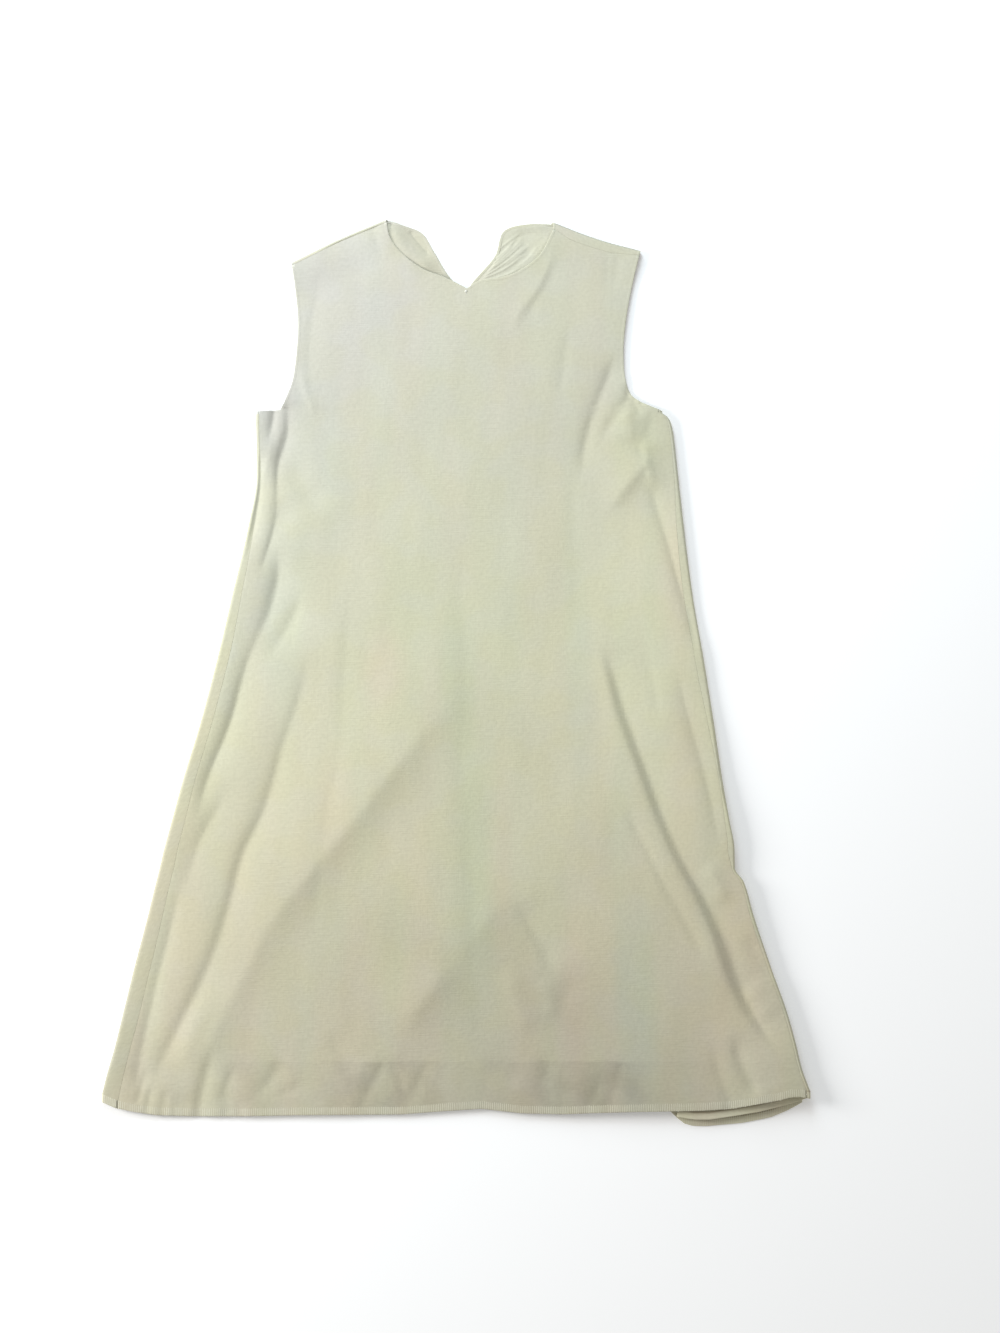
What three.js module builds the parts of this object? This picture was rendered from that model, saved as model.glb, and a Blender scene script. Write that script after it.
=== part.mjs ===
// A sleeveless A-line shift dress, laid flat on its back, in millimetres.
// +X runs to the viewer's right, +Y from the hem up to the shoulders, +Z up from the surface.
// The dress is laid out on a pattern whose Y is zero at the lowest point of the front hem, and the
// finished group is then centred on its own box.

import * as THREE from 'three';

// ---------------------------------------------------------------------------------------------
// Driving dimensions
// ---------------------------------------------------------------------------------------------

const CLOTH = 1.2;            // wall of the cloth panels
const BINDING_WALL = 1.6;     // wall of the rolled bindings at neck and armholes
const BINDING_WIDTH = 3.5;    // how far a rolled binding reaches in from the edge
const HEM_WIDTH = 7;          // height of the overlocked hem edge
const SEAM_GAP = 0.3;         // clearance between pieces that are sewn together
const FLOOR_LAYER = CLOTH / 2;   // height of the middle of the cloth that lies on the surface

const REST_HEIGHT = 3.0;      // height of the front, where it simply lies on the back
const FOLD_HEIGHT = 4.8;      // height of the front beside a folded edge, which springs up a little
const SIDE_SPRING = 70;       // how far in from a folded side edge that spring is felt
const SHOULDER_SPRING = 45;   // the same below a folded shoulder
const UNDERARM = 736;         // height on the pattern where skirt and side seams end

const FRONT_COLUMNS = 28;     // divisions across the front, between the armholes
const SHELF_COLUMNS = 2;      // divisions of the short underarm edge outside each armhole
const ROLL_STEPS = 3;         // facets around a folded edge
const YOKE_ROWS = 8;          // rows from the underarm to the shoulder
const LONGEST_ROW = 52;       // a tall section of the body is divided into rows no taller than this

const SHORTEST_FLAP = 0.3;    // length of a rolled edge's flap where its seam lies on the fold itself
const BEAD_RADIUS = 1.4;

const SAGE = 0xd0d4bd;
const SAGE_SHADE = 0xc3c6ac;
const BEAD_WHITE = 0xf0efe8;

// One row for each level of the body: its height on the pattern, where its folded side edges lie,
// and how wide a strip of the back rolls over each of them to the seam.
const SECTIONS = [
  { height: 7.3, left: -363, leftStrip: 17, right: 366, rightStrip: 4 },
  { height: 30, left: -359, leftStrip: 16.5, right: 362, rightStrip: 4 },
  { height: 60, left: -352, leftStrip: 16, right: 357, rightStrip: 4 },
  { height: 100, left: -343, leftStrip: 17, right: 344, rightStrip: 4 },
  { height: 150, left: -332, leftStrip: 17, right: 327, rightStrip: 4 },
  { height: 200, left: -320, leftStrip: 15.5, right: 311, rightStrip: 4 },
  { height: 236, left: -312, leftStrip: 15, right: 301, rightStrip: 3.5 },
  { height: 249, left: -309, leftStrip: 15, right: 292, rightStrip: 3.5 },
  { height: 268, left: -305, leftStrip: 14.5, right: 292, rightStrip: 7 },
  { height: 300, left: -297, leftStrip: 14, right: 287, rightStrip: 5 },
  { height: 340, left: -287, leftStrip: 13, right: 281, rightStrip: 4 },
  { height: 400, left: -270, leftStrip: 12.5, right: 273, rightStrip: 6.5 },
  { height: 470, left: -253, leftStrip: 12.5, right: 263, rightStrip: 9.5 },
  { height: 540, left: -238, leftStrip: 10, right: 252, rightStrip: 9.5 },
  { height: 610, left: -223, leftStrip: 6.5, right: 244, rightStrip: 8 },
  { height: 670, left: -214, leftStrip: 4, right: 238, rightStrip: 4.5 },
  { height: 736, left: -216, leftStrip: 3.5, right: 230, rightStrip: 3.5 },
];

// The hem lines, as heights along X. The front hem lifts at both corners and a little at the middle.
const FRONT_HEM = [
  { x: -363, y: 10 }, { x: -344, y: 2 }, { x: -320, y: 0 }, { x: -60, y: 0 }, { x: 0, y: 5 },
  { x: 65, y: 0 }, { x: 250, y: 1 }, { x: 285, y: 3 }, { x: 335, y: 12 }, { x: 366, y: 15 },
];
// The back hem hides behind it, except at the tuck, where its lowest layer drops into sight.
const BACK_HEM = [
  { x: -363, y: 10 }, { x: -344, y: 3 }, { x: -320, y: 2 }, { x: 224, y: 1 }, { x: 236, y: -11 },
  { x: 252, y: -14 }, { x: 296, y: -10 }, { x: 335, y: 0 }, { x: 352, y: 7 },
];
// The two upper layers of the tuck end a little higher than the lowest one.
const TUCK_HEM = [
  { x: 229, y: -5 }, { x: 245, y: -8 }, { x: 265, y: -8 }, { x: 314, y: 0 }, { x: 366, y: 13 },
];
const HEM_FADE = 150;         // height over which the lift of the hem fades out of the rows above

// The tuck in the back, below the right hip: the cloth doubles back on itself under the front.
const TUCK = {
  radius: 1.2,                // of each fold, in the middle of the cloth
  rightEdge: 351,             // where its lower fold lies at the hem
  rightEdgeTop: 284,          // and where the tuck runs out
  depth: 122,                 // how far the layers overlap at the hem
  shallowest: 1,              // and just below the level where it opens out
  closed: 255,                // height up to which the cloth is fully doubled
  open: 350,                  // height above which the back lies flat again
  spread: 18,                 // width that each fold's cloth takes up once it is flat
  spreadMiddle: 12,           // and that of the layer between them
  ramp: 36,                   // the front rises onto the tuck over this distance
  margin: 39,                 // once flat, that cloth ends this far from the right side edge
  flattening: 0.25,           // folds that turn by less than this angle spread out until flat
};

// The outline of the yoke. Each line runs on the finished edge of the dress.
const ARMHOLE_LEFT = [
  [-216, 740], [-190, 742], [-184, 755], [-176, 781], [-172, 832], [-175, 872], [-180, 905],
];
const ARMHOLE_RIGHT = [
  [230, 737], [200, 750], [188, 760], [182, 781], [181, 814], [185, 850], [192, 886], [200, 919],
];
const SHOULDER_LEFT = [[-180, 907], [-128, 933.5], [-77, 956]];
const SHOULDER_RIGHT = [[109, 951], [135, 940], [170, 928], [200, 920]];
// The front neckline, in two halves that meet in a small notch.
const NECK_FRONT_LEFT = [[-77, 954], [-72, 933], [-55, 913], [-35, 899], [-12, 890], [11, 878]];
const NECK_FRONT_RIGHT = [[11, 878], [26, 887], [52, 891], [73, 901], [92, 918], [105, 944]];
// The back neck is slit down its middle, and the two halves have fallen open in a V.
const NECK_BACK_LEFT = [[-77, 956], [-60, 950], [-38, 941], [-25, 920], [-9, 893], [11, 871]];
const NECK_BACK_RIGHT = [[11, 871], [29, 893], [44, 916], [51, 943], [76, 951], [109, 951]];
const SLIT_POINT = [11, 864]; // where the panel itself ends, below the point of the V

// How wide a strip of the back shows in front of each shoulder fold, from its neck end outwards
// on the right and from its armhole end inwards on the left.
const SHOULDER_STRIP_LEFT = [{ x: 0, y: 3.6 }, { x: 1, y: 3.6 }];
const SHOULDER_STRIP_RIGHT = [{ x: 0, y: 7 }, { x: 0.2, y: 11 }, { x: 0.7, y: 10.5 }, { x: 1, y: 6 }];

// The largest soft folds of the front, each a ridge along a line from its upper to its lower end.
// left and right are the widths of its two flanks.
const FOLDS = [
  { at: [[165, 462], [190, 372], [226, 285], [268, 205], [322, 92]], height: 4.5, left: 9, right: 20 },
  { at: [[-176, 452], [-196, 372], [-222, 305], [-258, 190], [-312, 60]], height: 3.5, left: 22, right: 9 },
  { at: [[24, 448], [-60, 356], [-136, 258], [-205, 160]], height: 3.5, left: 24, right: 12 },
  { at: [[60, 250], [30, 200], [-51, 83]], height: 2, left: 16, right: 12 },
  { at: [[178, 790], [158, 748], [142, 710], [138, 672]], height: 4, left: 8, right: 9 },
  { at: [[216, 640], [236, 560], [252, 480], [262, 380], [272, 300]], height: 2.2, left: 9, right: 7 },
  { at: [[-200, 700], [-203, 640], [-208, 580]], height: 2.5, left: 7, right: 9 },
];

// ---------------------------------------------------------------------------------------------
// Curves and tables
// ---------------------------------------------------------------------------------------------

const clamp = THREE.MathUtils.clamp;
const lerp = THREE.MathUtils.lerp;
const smooth = THREE.MathUtils.smoothstep;

// The value in a table of { x, y } rows, joined by straight stretches.
function lookUp(table, x) {
  const last = table.length - 1;
  const next = table.findIndex((row) => row.x > x);
  if (next === 0) return table[0].y;
  if (next < 0) return table[last].y;
  const [low, high] = [table[next - 1], table[next]];
  return lerp(low.y, high.y, (x - low.x) / (high.x - low.x));
}

const column = (name) => SECTIONS.map((row) => ({ x: row.height, y: row[name] }));
const LEFT_EDGE = column('left');
const RIGHT_EDGE = column('right');
const LEFT_STRIP = column('leftStrip');
const RIGHT_STRIP = column('rightStrip');

// Points at the given fractions along a smooth line through the named ones.
function along(line, fractions) {
  const curve = new THREE.SplineCurve(line.map(([x, y]) => new THREE.Vector2(x, y)));
  return fractions.map((fraction) => curve.getPoint(fraction));
}

const evenly = (steps) => Array.from({ length: steps + 1 }, (_, i) => i / steps);

// The same line moved sideways, to its right seen along it when the distance is positive. Its ends
// slide along the directions given for them.
function moved(points, distance, startDirection, endDirection) {
  const sides = points.slice(1).map((point, i) => {
    const step = point.clone().sub(points[i]).normalize();
    return new THREE.Vector2(step.y, -step.x);
  });
  return points.map((point, i) => {
    const before = sides[Math.max(i - 1, 0)];
    const after = sides[Math.min(i, sides.length - 1)];
    let side = before.clone().add(after).normalize();
    if (i === 0 && startDirection) side = startDirection.clone();
    if (i === points.length - 1 && endDirection) side = endDirection.clone();
    const reach = distance / Math.max(side.dot(after), 0.5);
    return point.clone().addScaledVector(side, reach);
  });
}

// ---------------------------------------------------------------------------------------------
// The tuck, in the sections of the back
// ---------------------------------------------------------------------------------------------

// At one height, how far the cloth turns at each fold of the tuck, how long the folds and the layer
// between them are, and how high the layer above lies.
function tuckAt(height) {
  const turn = Math.PI * (1 - smooth(height, TUCK.closed, TUCK.open));
  const flat = 1 - clamp(turn / TUCK.flattening, 0, 1);
  const fold = lerp(Math.PI * TUCK.radius, TUCK.spread, flat);
  const overlap = lerp(TUCK.depth, TUCK.shallowest, clamp(height / TUCK.closed, 0, 1));
  const middle = lerp(overlap, TUCK.spreadMiddle, flat);
  const bend = turn < 1e-6 ? { run: fold, rise: 0 }
    : { run: (fold / turn) * Math.sin(turn), rise: (fold / turn) * (1 - Math.cos(turn)) };
  return {
    turn,
    flat,
    fold,
    middle,
    rightEdge: lerp(TUCK.rightEdge, TUCK.rightEdgeTop, clamp(height / TUCK.closed, 0, 1)),
    run: 2 * bend.run + middle * Math.cos(turn),
    rise: 2 * bend.rise + middle * Math.sin(turn),
  };
}

// A point of the tuck's section: its run along X, its rise, and the angle of the cloth there.
// A fraction of 0 to 1 lies on the first fold, 1 to 2 on the layer between, 2 to 3 on the second.
function tuckPoint(tuck, fraction) {
  if (fraction > 1.5) {
    const mirrored = tuckPoint(tuck, 3 - fraction);
    return { run: tuck.run - mirrored.run, rise: tuck.rise - mirrored.rise, angle: mirrored.angle };
  }
  const angle = tuck.turn * Math.min(fraction, 1);
  const arc = tuck.fold * Math.min(fraction, 1);
  const curved = angle > 1e-6;
  const straight = Math.max(fraction - 1, 0) * tuck.middle;
  const run = (curved ? (arc / angle) * Math.sin(angle) : arc) + straight * Math.cos(angle);
  const rise = (curved ? (arc / angle) * (1 - Math.cos(angle)) : 0) + straight * Math.sin(angle);
  return { run, rise, angle };
}

// ---------------------------------------------------------------------------------------------
// The height of the front
// ---------------------------------------------------------------------------------------------

const foldLines = FOLDS.map((fold) => ({ ...fold, points: along(fold.at, evenly(24)) }));

// The height that one soft fold adds at a point: a ridge with two flanks, fading at both its ends.
function foldHeight(fold, x, y) {
  let best = { distance: Infinity, offset: 0, fraction: 0 };
  for (let i = 1; i < fold.points.length; i += 1) {
    const start = fold.points[i - 1];
    const step = fold.points[i].clone().sub(start);
    const [dx, dy] = [x - start.x, y - start.y];
    const part = clamp((dx * step.x + dy * step.y) / step.lengthSq(), 0, 1);
    const distance = Math.hypot(dx - step.x * part, dy - step.y * part);
    if (distance < best.distance) {
      best = {
        distance,
        offset: Math.sign(step.x * dy - step.y * dx) * distance,
        fraction: (i - 1 + part) / (fold.points.length - 1),
      };
    }
  }
  const width = best.offset > 0 ? fold.right : fold.left;
  const fade = Math.sin(Math.PI * clamp(best.fraction, 0.04, 0.96)) ** 0.6;
  return fold.height * fade * Math.exp(-((best.distance / width) ** 2));
}

// How near a point is to a folded shoulder: the distance below the line of the shoulder.
function belowShoulder(line, x, y) {
  const [start, end] = [line[0], line[line.length - 1]];
  const [dx, dy] = [end[0] - start[0], end[1] - start[1]];
  return Math.abs((x - start[0]) * dy - (y - start[1]) * dx) / Math.hypot(dx, dy);
}

// The height of the middle of the front's cloth above the surface.
function frontHeight(x, y) {
  const side = Math.min(x - lookUp(LEFT_EDGE, y), lookUp(RIGHT_EDGE, y) - x);
  const nearSide = (1 - smooth(side, 8, SIDE_SPRING)) * (1 - smooth(y, UNDERARM, UNDERARM + 60));
  const shoulder = Math.min(belowShoulder(SHOULDER_LEFT, x, y), belowShoulder(SHOULDER_RIGHT, x, y));
  const nearShoulder = 1 - smooth(shoulder, 8, SHOULDER_SPRING);
  const spring = (FOLD_HEIGHT - REST_HEIGHT) * Math.max(nearSide, nearShoulder);
  const tuck = tuckAt(y);
  const tuckLeft = tuck.rightEdge - Math.max(tuck.middle, 0);
  const onTuck = tuck.rise * smooth(x, tuckLeft - TUCK.ramp, tuckLeft - 6);
  const folds = foldLines.reduce((sum, fold) => sum + foldHeight(fold, x, y), 0);
  return REST_HEIGHT + spring + onTuck + folds;
}

// ---------------------------------------------------------------------------------------------
// Cloth: points with the outward side of the cloth, in grids that share their edges
// ---------------------------------------------------------------------------------------------

const spot = (x, y, z, normal) => ({ point: new THREE.Vector3(x, y, z), normal });

// A spot of the front, whose outward side faces up.
function onFront({ x, y }) {
  const step = 2;
  const slopeX = (frontHeight(x + step, y) - frontHeight(x - step, y)) / (2 * step);
  const slopeY = (frontHeight(x, y + step) - frontHeight(x, y - step)) / (2 * step);
  return spot(x, y, frontHeight(x, y), new THREE.Vector3(-slopeX, -slopeY, 1).normalize());
}

// A spot of the back where it lies on the surface, with its outward side down.
const onSurface = ({ x, y }) => spot(x, y, FLOOR_LAYER, new THREE.Vector3(0, 0, -1));

// A spot of the back that has rolled over a folded edge. start is where the cloth leaves the layer
// at the given height, outward points across the fold, and travel is the cloth's length from there.
function rolled(start, outward, bottom, top, travel) {
  const radius = (top - bottom) / 2;
  const angle = Math.min(travel / radius, Math.PI);
  const flap = Math.max(travel - Math.PI * radius, 0);
  const reach = radius * Math.sin(angle) - flap;
  const normal = new THREE.Vector3(
    outward.x * Math.sin(angle), outward.y * Math.sin(angle), -Math.cos(angle));
  return spot(
    start.x + outward.x * reach,
    start.y + outward.y * reach,
    bottom + radius * (1 - Math.cos(angle)),
    normal);
}

// One closed solid from grids of spots. Grids that share a spot are joined there.
function clothSolid(name, grids, wall, color, facesUp) {
  const numbers = new Map();
  const numberOf = (item) => {
    if (!numbers.has(item)) numbers.set(item, numbers.size);
    return numbers.get(item);
  };
  const quads = [];
  for (const grid of grids) {
    for (let row = 1; row < grid.length; row += 1) {
      for (let i = 1; i < grid[row].length; i += 1) {
        const quad = [grid[row - 1][i - 1], grid[row - 1][i], grid[row][i], grid[row][i - 1]];
        quads.push((facesUp ? quad : quad.reverse()).map(numberOf));
      }
    }
  }
  const count = numbers.size;
  const positions = new Float32Array(count * 6);
  for (const [item, number] of numbers) {
    item.point.clone().addScaledVector(item.normal, wall / 2).toArray(positions, number * 3);
    item.point.clone().addScaledVector(item.normal, -wall / 2).toArray(positions, (count + number) * 3);
  }
  const edges = new Set();
  for (const quad of quads) quad.forEach((from, i) => edges.add(`${from},${quad[(i + 1) % 4]}`));
  const faces = [];
  for (const [a, b, c, d] of quads) {
    faces.push(a, b, c, a, c, d);
    faces.push(count + a, count + c, count + b, count + a, count + d, count + c);
  }
  for (const edge of edges) {
    const [from, to] = edge.split(',').map(Number);
    if (!edges.has(`${to},${from}`)) {
      faces.push(to, from, count + from, to, count + from, count + to);
    }
  }
  const geometry = new THREE.BufferGeometry();
  geometry.setAttribute('position', new THREE.BufferAttribute(positions, 3));
  geometry.setIndex(faces);
  geometry.computeVertexNormals();
  const mesh = new THREE.Mesh(
    geometry, new THREE.MeshStandardMaterial({ color, roughness: 0.8, metalness: 0 }));
  mesh.name = name;
  return mesh;
}

// Binding and hem strips lie flush with the outside of the cloth, so a thicker one is sunk inwards.
function sunk(item, wall) {
  item.point.addScaledVector(item.normal, (CLOTH - wall) / 2);
  return item;
}

// ---------------------------------------------------------------------------------------------
// Shared lines of the outline
// ---------------------------------------------------------------------------------------------

const PANEL_INSET = BINDING_WIDTH + SEAM_GAP;
const INTO_PANEL_DOWN = new THREE.Vector2(0, -1);

// One shoulder: its outline from the neck to the armhole, and its directions.
function shoulder(outline, strips) {
  const points = outline.map(([x, y]) => new THREE.Vector2(x, y));
  const direction = points[points.length - 1].clone().sub(points[0]).normalize();
  const outward = new THREE.Vector2(Math.abs(direction.y) * Math.sign(direction.x), Math.abs(direction.x));
  return { outline, strips, direction, outward };
}
const leftShoulder = shoulder([...SHOULDER_LEFT].reverse(), SHOULDER_STRIP_LEFT);
const rightShoulder = shoulder(SHOULDER_RIGHT, SHOULDER_STRIP_RIGHT);

// The part of an outline that stays below a folded shoulder by the given depth, at either end.
function trimmed(line, steps, startDepth, endDepth) {
  const fine = along(line, evenly(1000));
  const deep = ({ x, y }, limit) => !limit || belowShoulder(limit.side.outline, x, y) >= limit.depth;
  let first = 0;
  while (!deep(fine[first], startDepth)) first += 1;
  let last = 1000;
  while (!deep(fine[last], endDepth)) last -= 1;
  return along(line, evenly(steps).map((part) => lerp(first, last, part) / 1000));
}

// The line of an armhole from the side seam along the short underarm edge and up to the shoulder.
function armholeLine(outline, startX, side, depth) {
  const [start, corner] = outline;
  const part = (startX - start[0]) / (corner[0] - start[0]);
  const from = new THREE.Vector2(startX, lerp(start[1], corner[1], part));
  const to = new THREE.Vector2(...corner);
  const shelf = evenly(SHELF_COLUMNS).map((fraction) => from.clone().lerp(to, fraction));
  const rise = trimmed(outline.slice(1), YOKE_ROWS, null, { side, depth });
  return [...shelf, ...rise.slice(1)];
}

// The line between two corners that follows a shoulder, deepened by its strip where it has one.
function shoulderLine(side, neckCorner, armCorner, fractions, deepened) {
  const chordFrom = new THREE.Vector2(...side.outline[0]);
  const chordTo = new THREE.Vector2(...side.outline[side.outline.length - 1]);
  const crown = along(side.outline, fractions);
  return fractions.map((fraction, i) => {
    const bow = crown[i].clone().sub(chordFrom.clone().lerp(chordTo, fraction)).dot(side.outward);
    const evenStrip = lerp(side.strips[0].y, side.strips[side.strips.length - 1].y, fraction);
    const deeper = deepened ? lookUp(side.strips, fraction) - evenStrip : 0;
    return neckCorner.clone().lerp(armCorner, fraction).addScaledVector(side.outward, bow - deeper);
  });
}

// A patch of points between four lines that meet at its corners.
function patch(bottom, top, left, right) {
  const [columns, rows] = [bottom.length - 1, left.length - 1];
  return left.map((leftPoint, row) => bottom.map((bottomPoint, i) => {
    const [across, up] = [i / columns, row / rows];
    const blend = (name) => lerp(leftPoint[name], right[row][name], across)
      + lerp(bottomPoint[name], top[i][name], up)
      - lerp(
        lerp(bottom[0][name], bottom[columns][name], across),
        lerp(top[0][name], top[columns][name], across), up);
    return new THREE.Vector2(blend('x'), blend('y'));
  }));
}

// The heights of the rows of the body, with the tall sections divided.
const ROW_HEIGHTS = SECTIONS.slice(1).reduce((rows, section) => {
  const from = rows[rows.length - 1];
  const steps = Math.ceil((section.height - from) / LONGEST_ROW);
  for (let i = 1; i <= steps; i += 1) rows.push(lerp(from, section.height, i / steps));
  return rows;
}, [SECTIONS[0].height]);

// One row of the body at a nominal height. Near the hem it follows the hem line, and near the
// underarm it takes up the rise of the top row.
function bodyRow(height, xs, hem, topRow) {
  const low = 1 - smooth(height, 0, HEM_FADE);
  const high = smooth(height, UNDERARM - 180, UNDERARM);
  return xs.map((x, i) => {
    const rise = topRow[i].y - UNDERARM;
    return new THREE.Vector2(x, height + hem(x, i) * low + rise * high);
  });
}

// ---------------------------------------------------------------------------------------------
// The front
// ---------------------------------------------------------------------------------------------

const frontLeft = (y) => lookUp(LEFT_EDGE, y) + lookUp(LEFT_STRIP, y) + SEAM_GAP;
const frontRight = (y) => lookUp(RIGHT_EDGE, y) - lookUp(RIGHT_STRIP, y) - SEAM_GAP;

function seamDepth(side, atNeck) {
  const strip = atNeck ? side.strips[0] : side.strips[side.strips.length - 1];
  return strip.y + SEAM_GAP;
}

// The finished edges of the front: both armholes and the neckline, up to the shoulder seams.
const frontArmLeft = armholeLine(
  ARMHOLE_LEFT, frontLeft(UNDERARM), leftShoulder, seamDepth(leftShoulder, false));
const frontArmRight = armholeLine(
  ARMHOLE_RIGHT, frontRight(UNDERARM), rightShoulder, seamDepth(rightShoulder, false));
const frontNeck = [
  ...trimmed(
    NECK_FRONT_LEFT, FRONT_COLUMNS / 4, { side: leftShoulder, depth: seamDepth(leftShoulder, true) }, null),
  ...trimmed(
    NECK_FRONT_RIGHT, FRONT_COLUMNS / 4, null, { side: rightShoulder, depth: seamDepth(rightShoulder, true) },
  ).slice(1),
];

// The same edges moved into the cloth by a distance, sliding along the seams that end them.
const insetArmLeft = (line, distance) => moved(
  line, distance, INTO_PANEL_DOWN, leftShoulder.direction.clone().negate());
const insetArmRight = (line, distance) => moved(
  line, -distance, INTO_PANEL_DOWN.clone().negate(), rightShoulder.direction);
const insetFrontNeck = (distance) => moved(
  frontNeck, distance, leftShoulder.direction, rightShoulder.direction);

function buildFront() {
  const armLeft = insetArmLeft(frontArmLeft, PANEL_INSET);
  const armRight = insetArmRight(frontArmRight, PANEL_INSET);
  const neck = insetFrontNeck(PANEL_INSET);
  const cornerLeft = armLeft[SHELF_COLUMNS];
  const cornerRight = armRight[SHELF_COLUMNS];
  const middle = evenly(FRONT_COLUMNS).map((part) => cornerLeft.clone().lerp(cornerRight, part));
  const topRow = [
    ...armLeft.slice(0, SHELF_COLUMNS), ...middle, ...armRight.slice(0, SHELF_COLUMNS).reverse(),
  ];
  const [from, to] = [topRow[0].x, topRow[topRow.length - 1].x];
  const fractions = topRow.map((point) => (point.x - from) / (to - from));
  const body = ROW_HEIGHTS.map((height, row) => {
    if (row === ROW_HEIGHTS.length - 1) return topRow;
    const xs = fractions.map((part) => lerp(frontLeft(height), frontRight(height), part));
    return bodyRow(height, xs, (x) => lookUp(FRONT_HEM, x), topRow);
  });
  const bodySpots = body.map((row) => row.map(onFront));

  const shoulderSteps = FRONT_COLUMNS / 4;
  const top = [
    ...shoulderLine(leftShoulder, neck[0], armLeft[armLeft.length - 1], evenly(shoulderSteps), true)
      .reverse(),
    ...neck.slice(1, -1),
    ...shoulderLine(
      rightShoulder, neck[neck.length - 1], armRight[armRight.length - 1], evenly(shoulderSteps), true),
  ];
  const yoke = patch(middle, top, armLeft.slice(SHELF_COLUMNS), armRight.slice(SHELF_COLUMNS));
  const shared = bodySpots[bodySpots.length - 1].slice(SHELF_COLUMNS, SHELF_COLUMNS + middle.length);
  const yokeSpots = [shared, ...yoke.slice(1).map((row) => row.map(onFront))];
  return { grids: [bodySpots, yokeSpots], hemRow: body[0] };
}

// ---------------------------------------------------------------------------------------------
// The back
// ---------------------------------------------------------------------------------------------

// How far inside the outline the back leaves the layer below to roll over, where its upper layer
// lies at the given heights.
const rollDepth = (bottom, top) => (top - bottom) / 2 + CLOTH / 2;

// The roll over one side edge at one height: where it starts, and the heights that it joins.
function sideRoll(edge, strip, sign, y) {
  const seamX = lookUp(edge, y) + sign * (lookUp(strip, y) + SEAM_GAP);
  const bottom = sign < 0 ? FLOOR_LAYER + tuckAt(y).rise : FLOOR_LAYER;
  const top = frontHeight(seamX, y);
  const depth = rollDepth(bottom, top);
  const flap = Math.max(lookUp(strip, y) - depth, SHORTEST_FLAP);
  return { x: lookUp(edge, y) + sign * depth, bottom, top, flap };
}
const leftRoll = (y) => sideRoll(LEFT_EDGE, LEFT_STRIP, 1, y);
const rightRoll = (y) => sideRoll(RIGHT_EDGE, RIGHT_STRIP, -1, y);

// How far the cloth has travelled at each step of a roll and at the end of its flap.
function travels(bottom, top, flap) {
  const around = Math.PI * (top - bottom) / 2;
  return [...evenly(ROLL_STEPS).map((part) => part * around), around + flap].slice(1);
}

const shoulderRoll = FOLD_HEIGHT;
const shoulderDepth = rollDepth(FLOOR_LAYER, shoulderRoll);

const backArmLeft = armholeLine(ARMHOLE_LEFT, leftRoll(UNDERARM).x, leftShoulder, shoulderDepth);
const backArmRight = armholeLine(ARMHOLE_RIGHT, rightRoll(UNDERARM).x, rightShoulder, shoulderDepth);

// How the back's columns divide it left of the tuck, over the tuck and right of it. The first two
// and the last two are the short underarm edges, and those before the tuck crowd where it shows.
const LEFT_PARTS = [
  0, 0.032, 0.065, 0.14, 0.215, 0.29, 0.36, 0.43, 0.5, 0.57, 0.64, 0.71, 0.78, 0.82, 0.84, 0.86, 0.92,
];
const TUCK_PARTS = evenly(9).map((part) => part * 3);
const RIGHT_PARTS = [0.31, 0.65, 1];
const NECK_STEPS = 5;
const LEFT_SHOULDER_STEPS = 3;

const backNeckLeft = trimmed(NECK_BACK_LEFT, NECK_STEPS, { side: leftShoulder, depth: shoulderDepth }, null);
const backNeckRight = trimmed(
  NECK_BACK_RIGHT, NECK_STEPS, null, { side: rightShoulder, depth: shoulderDepth });
const insetNeckLeft = (distance) => moved(backNeckLeft, distance, leftShoulder.direction, null);
const insetNeckRight = (distance) => moved(backNeckRight, distance, null, rightShoulder.direction);

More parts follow.
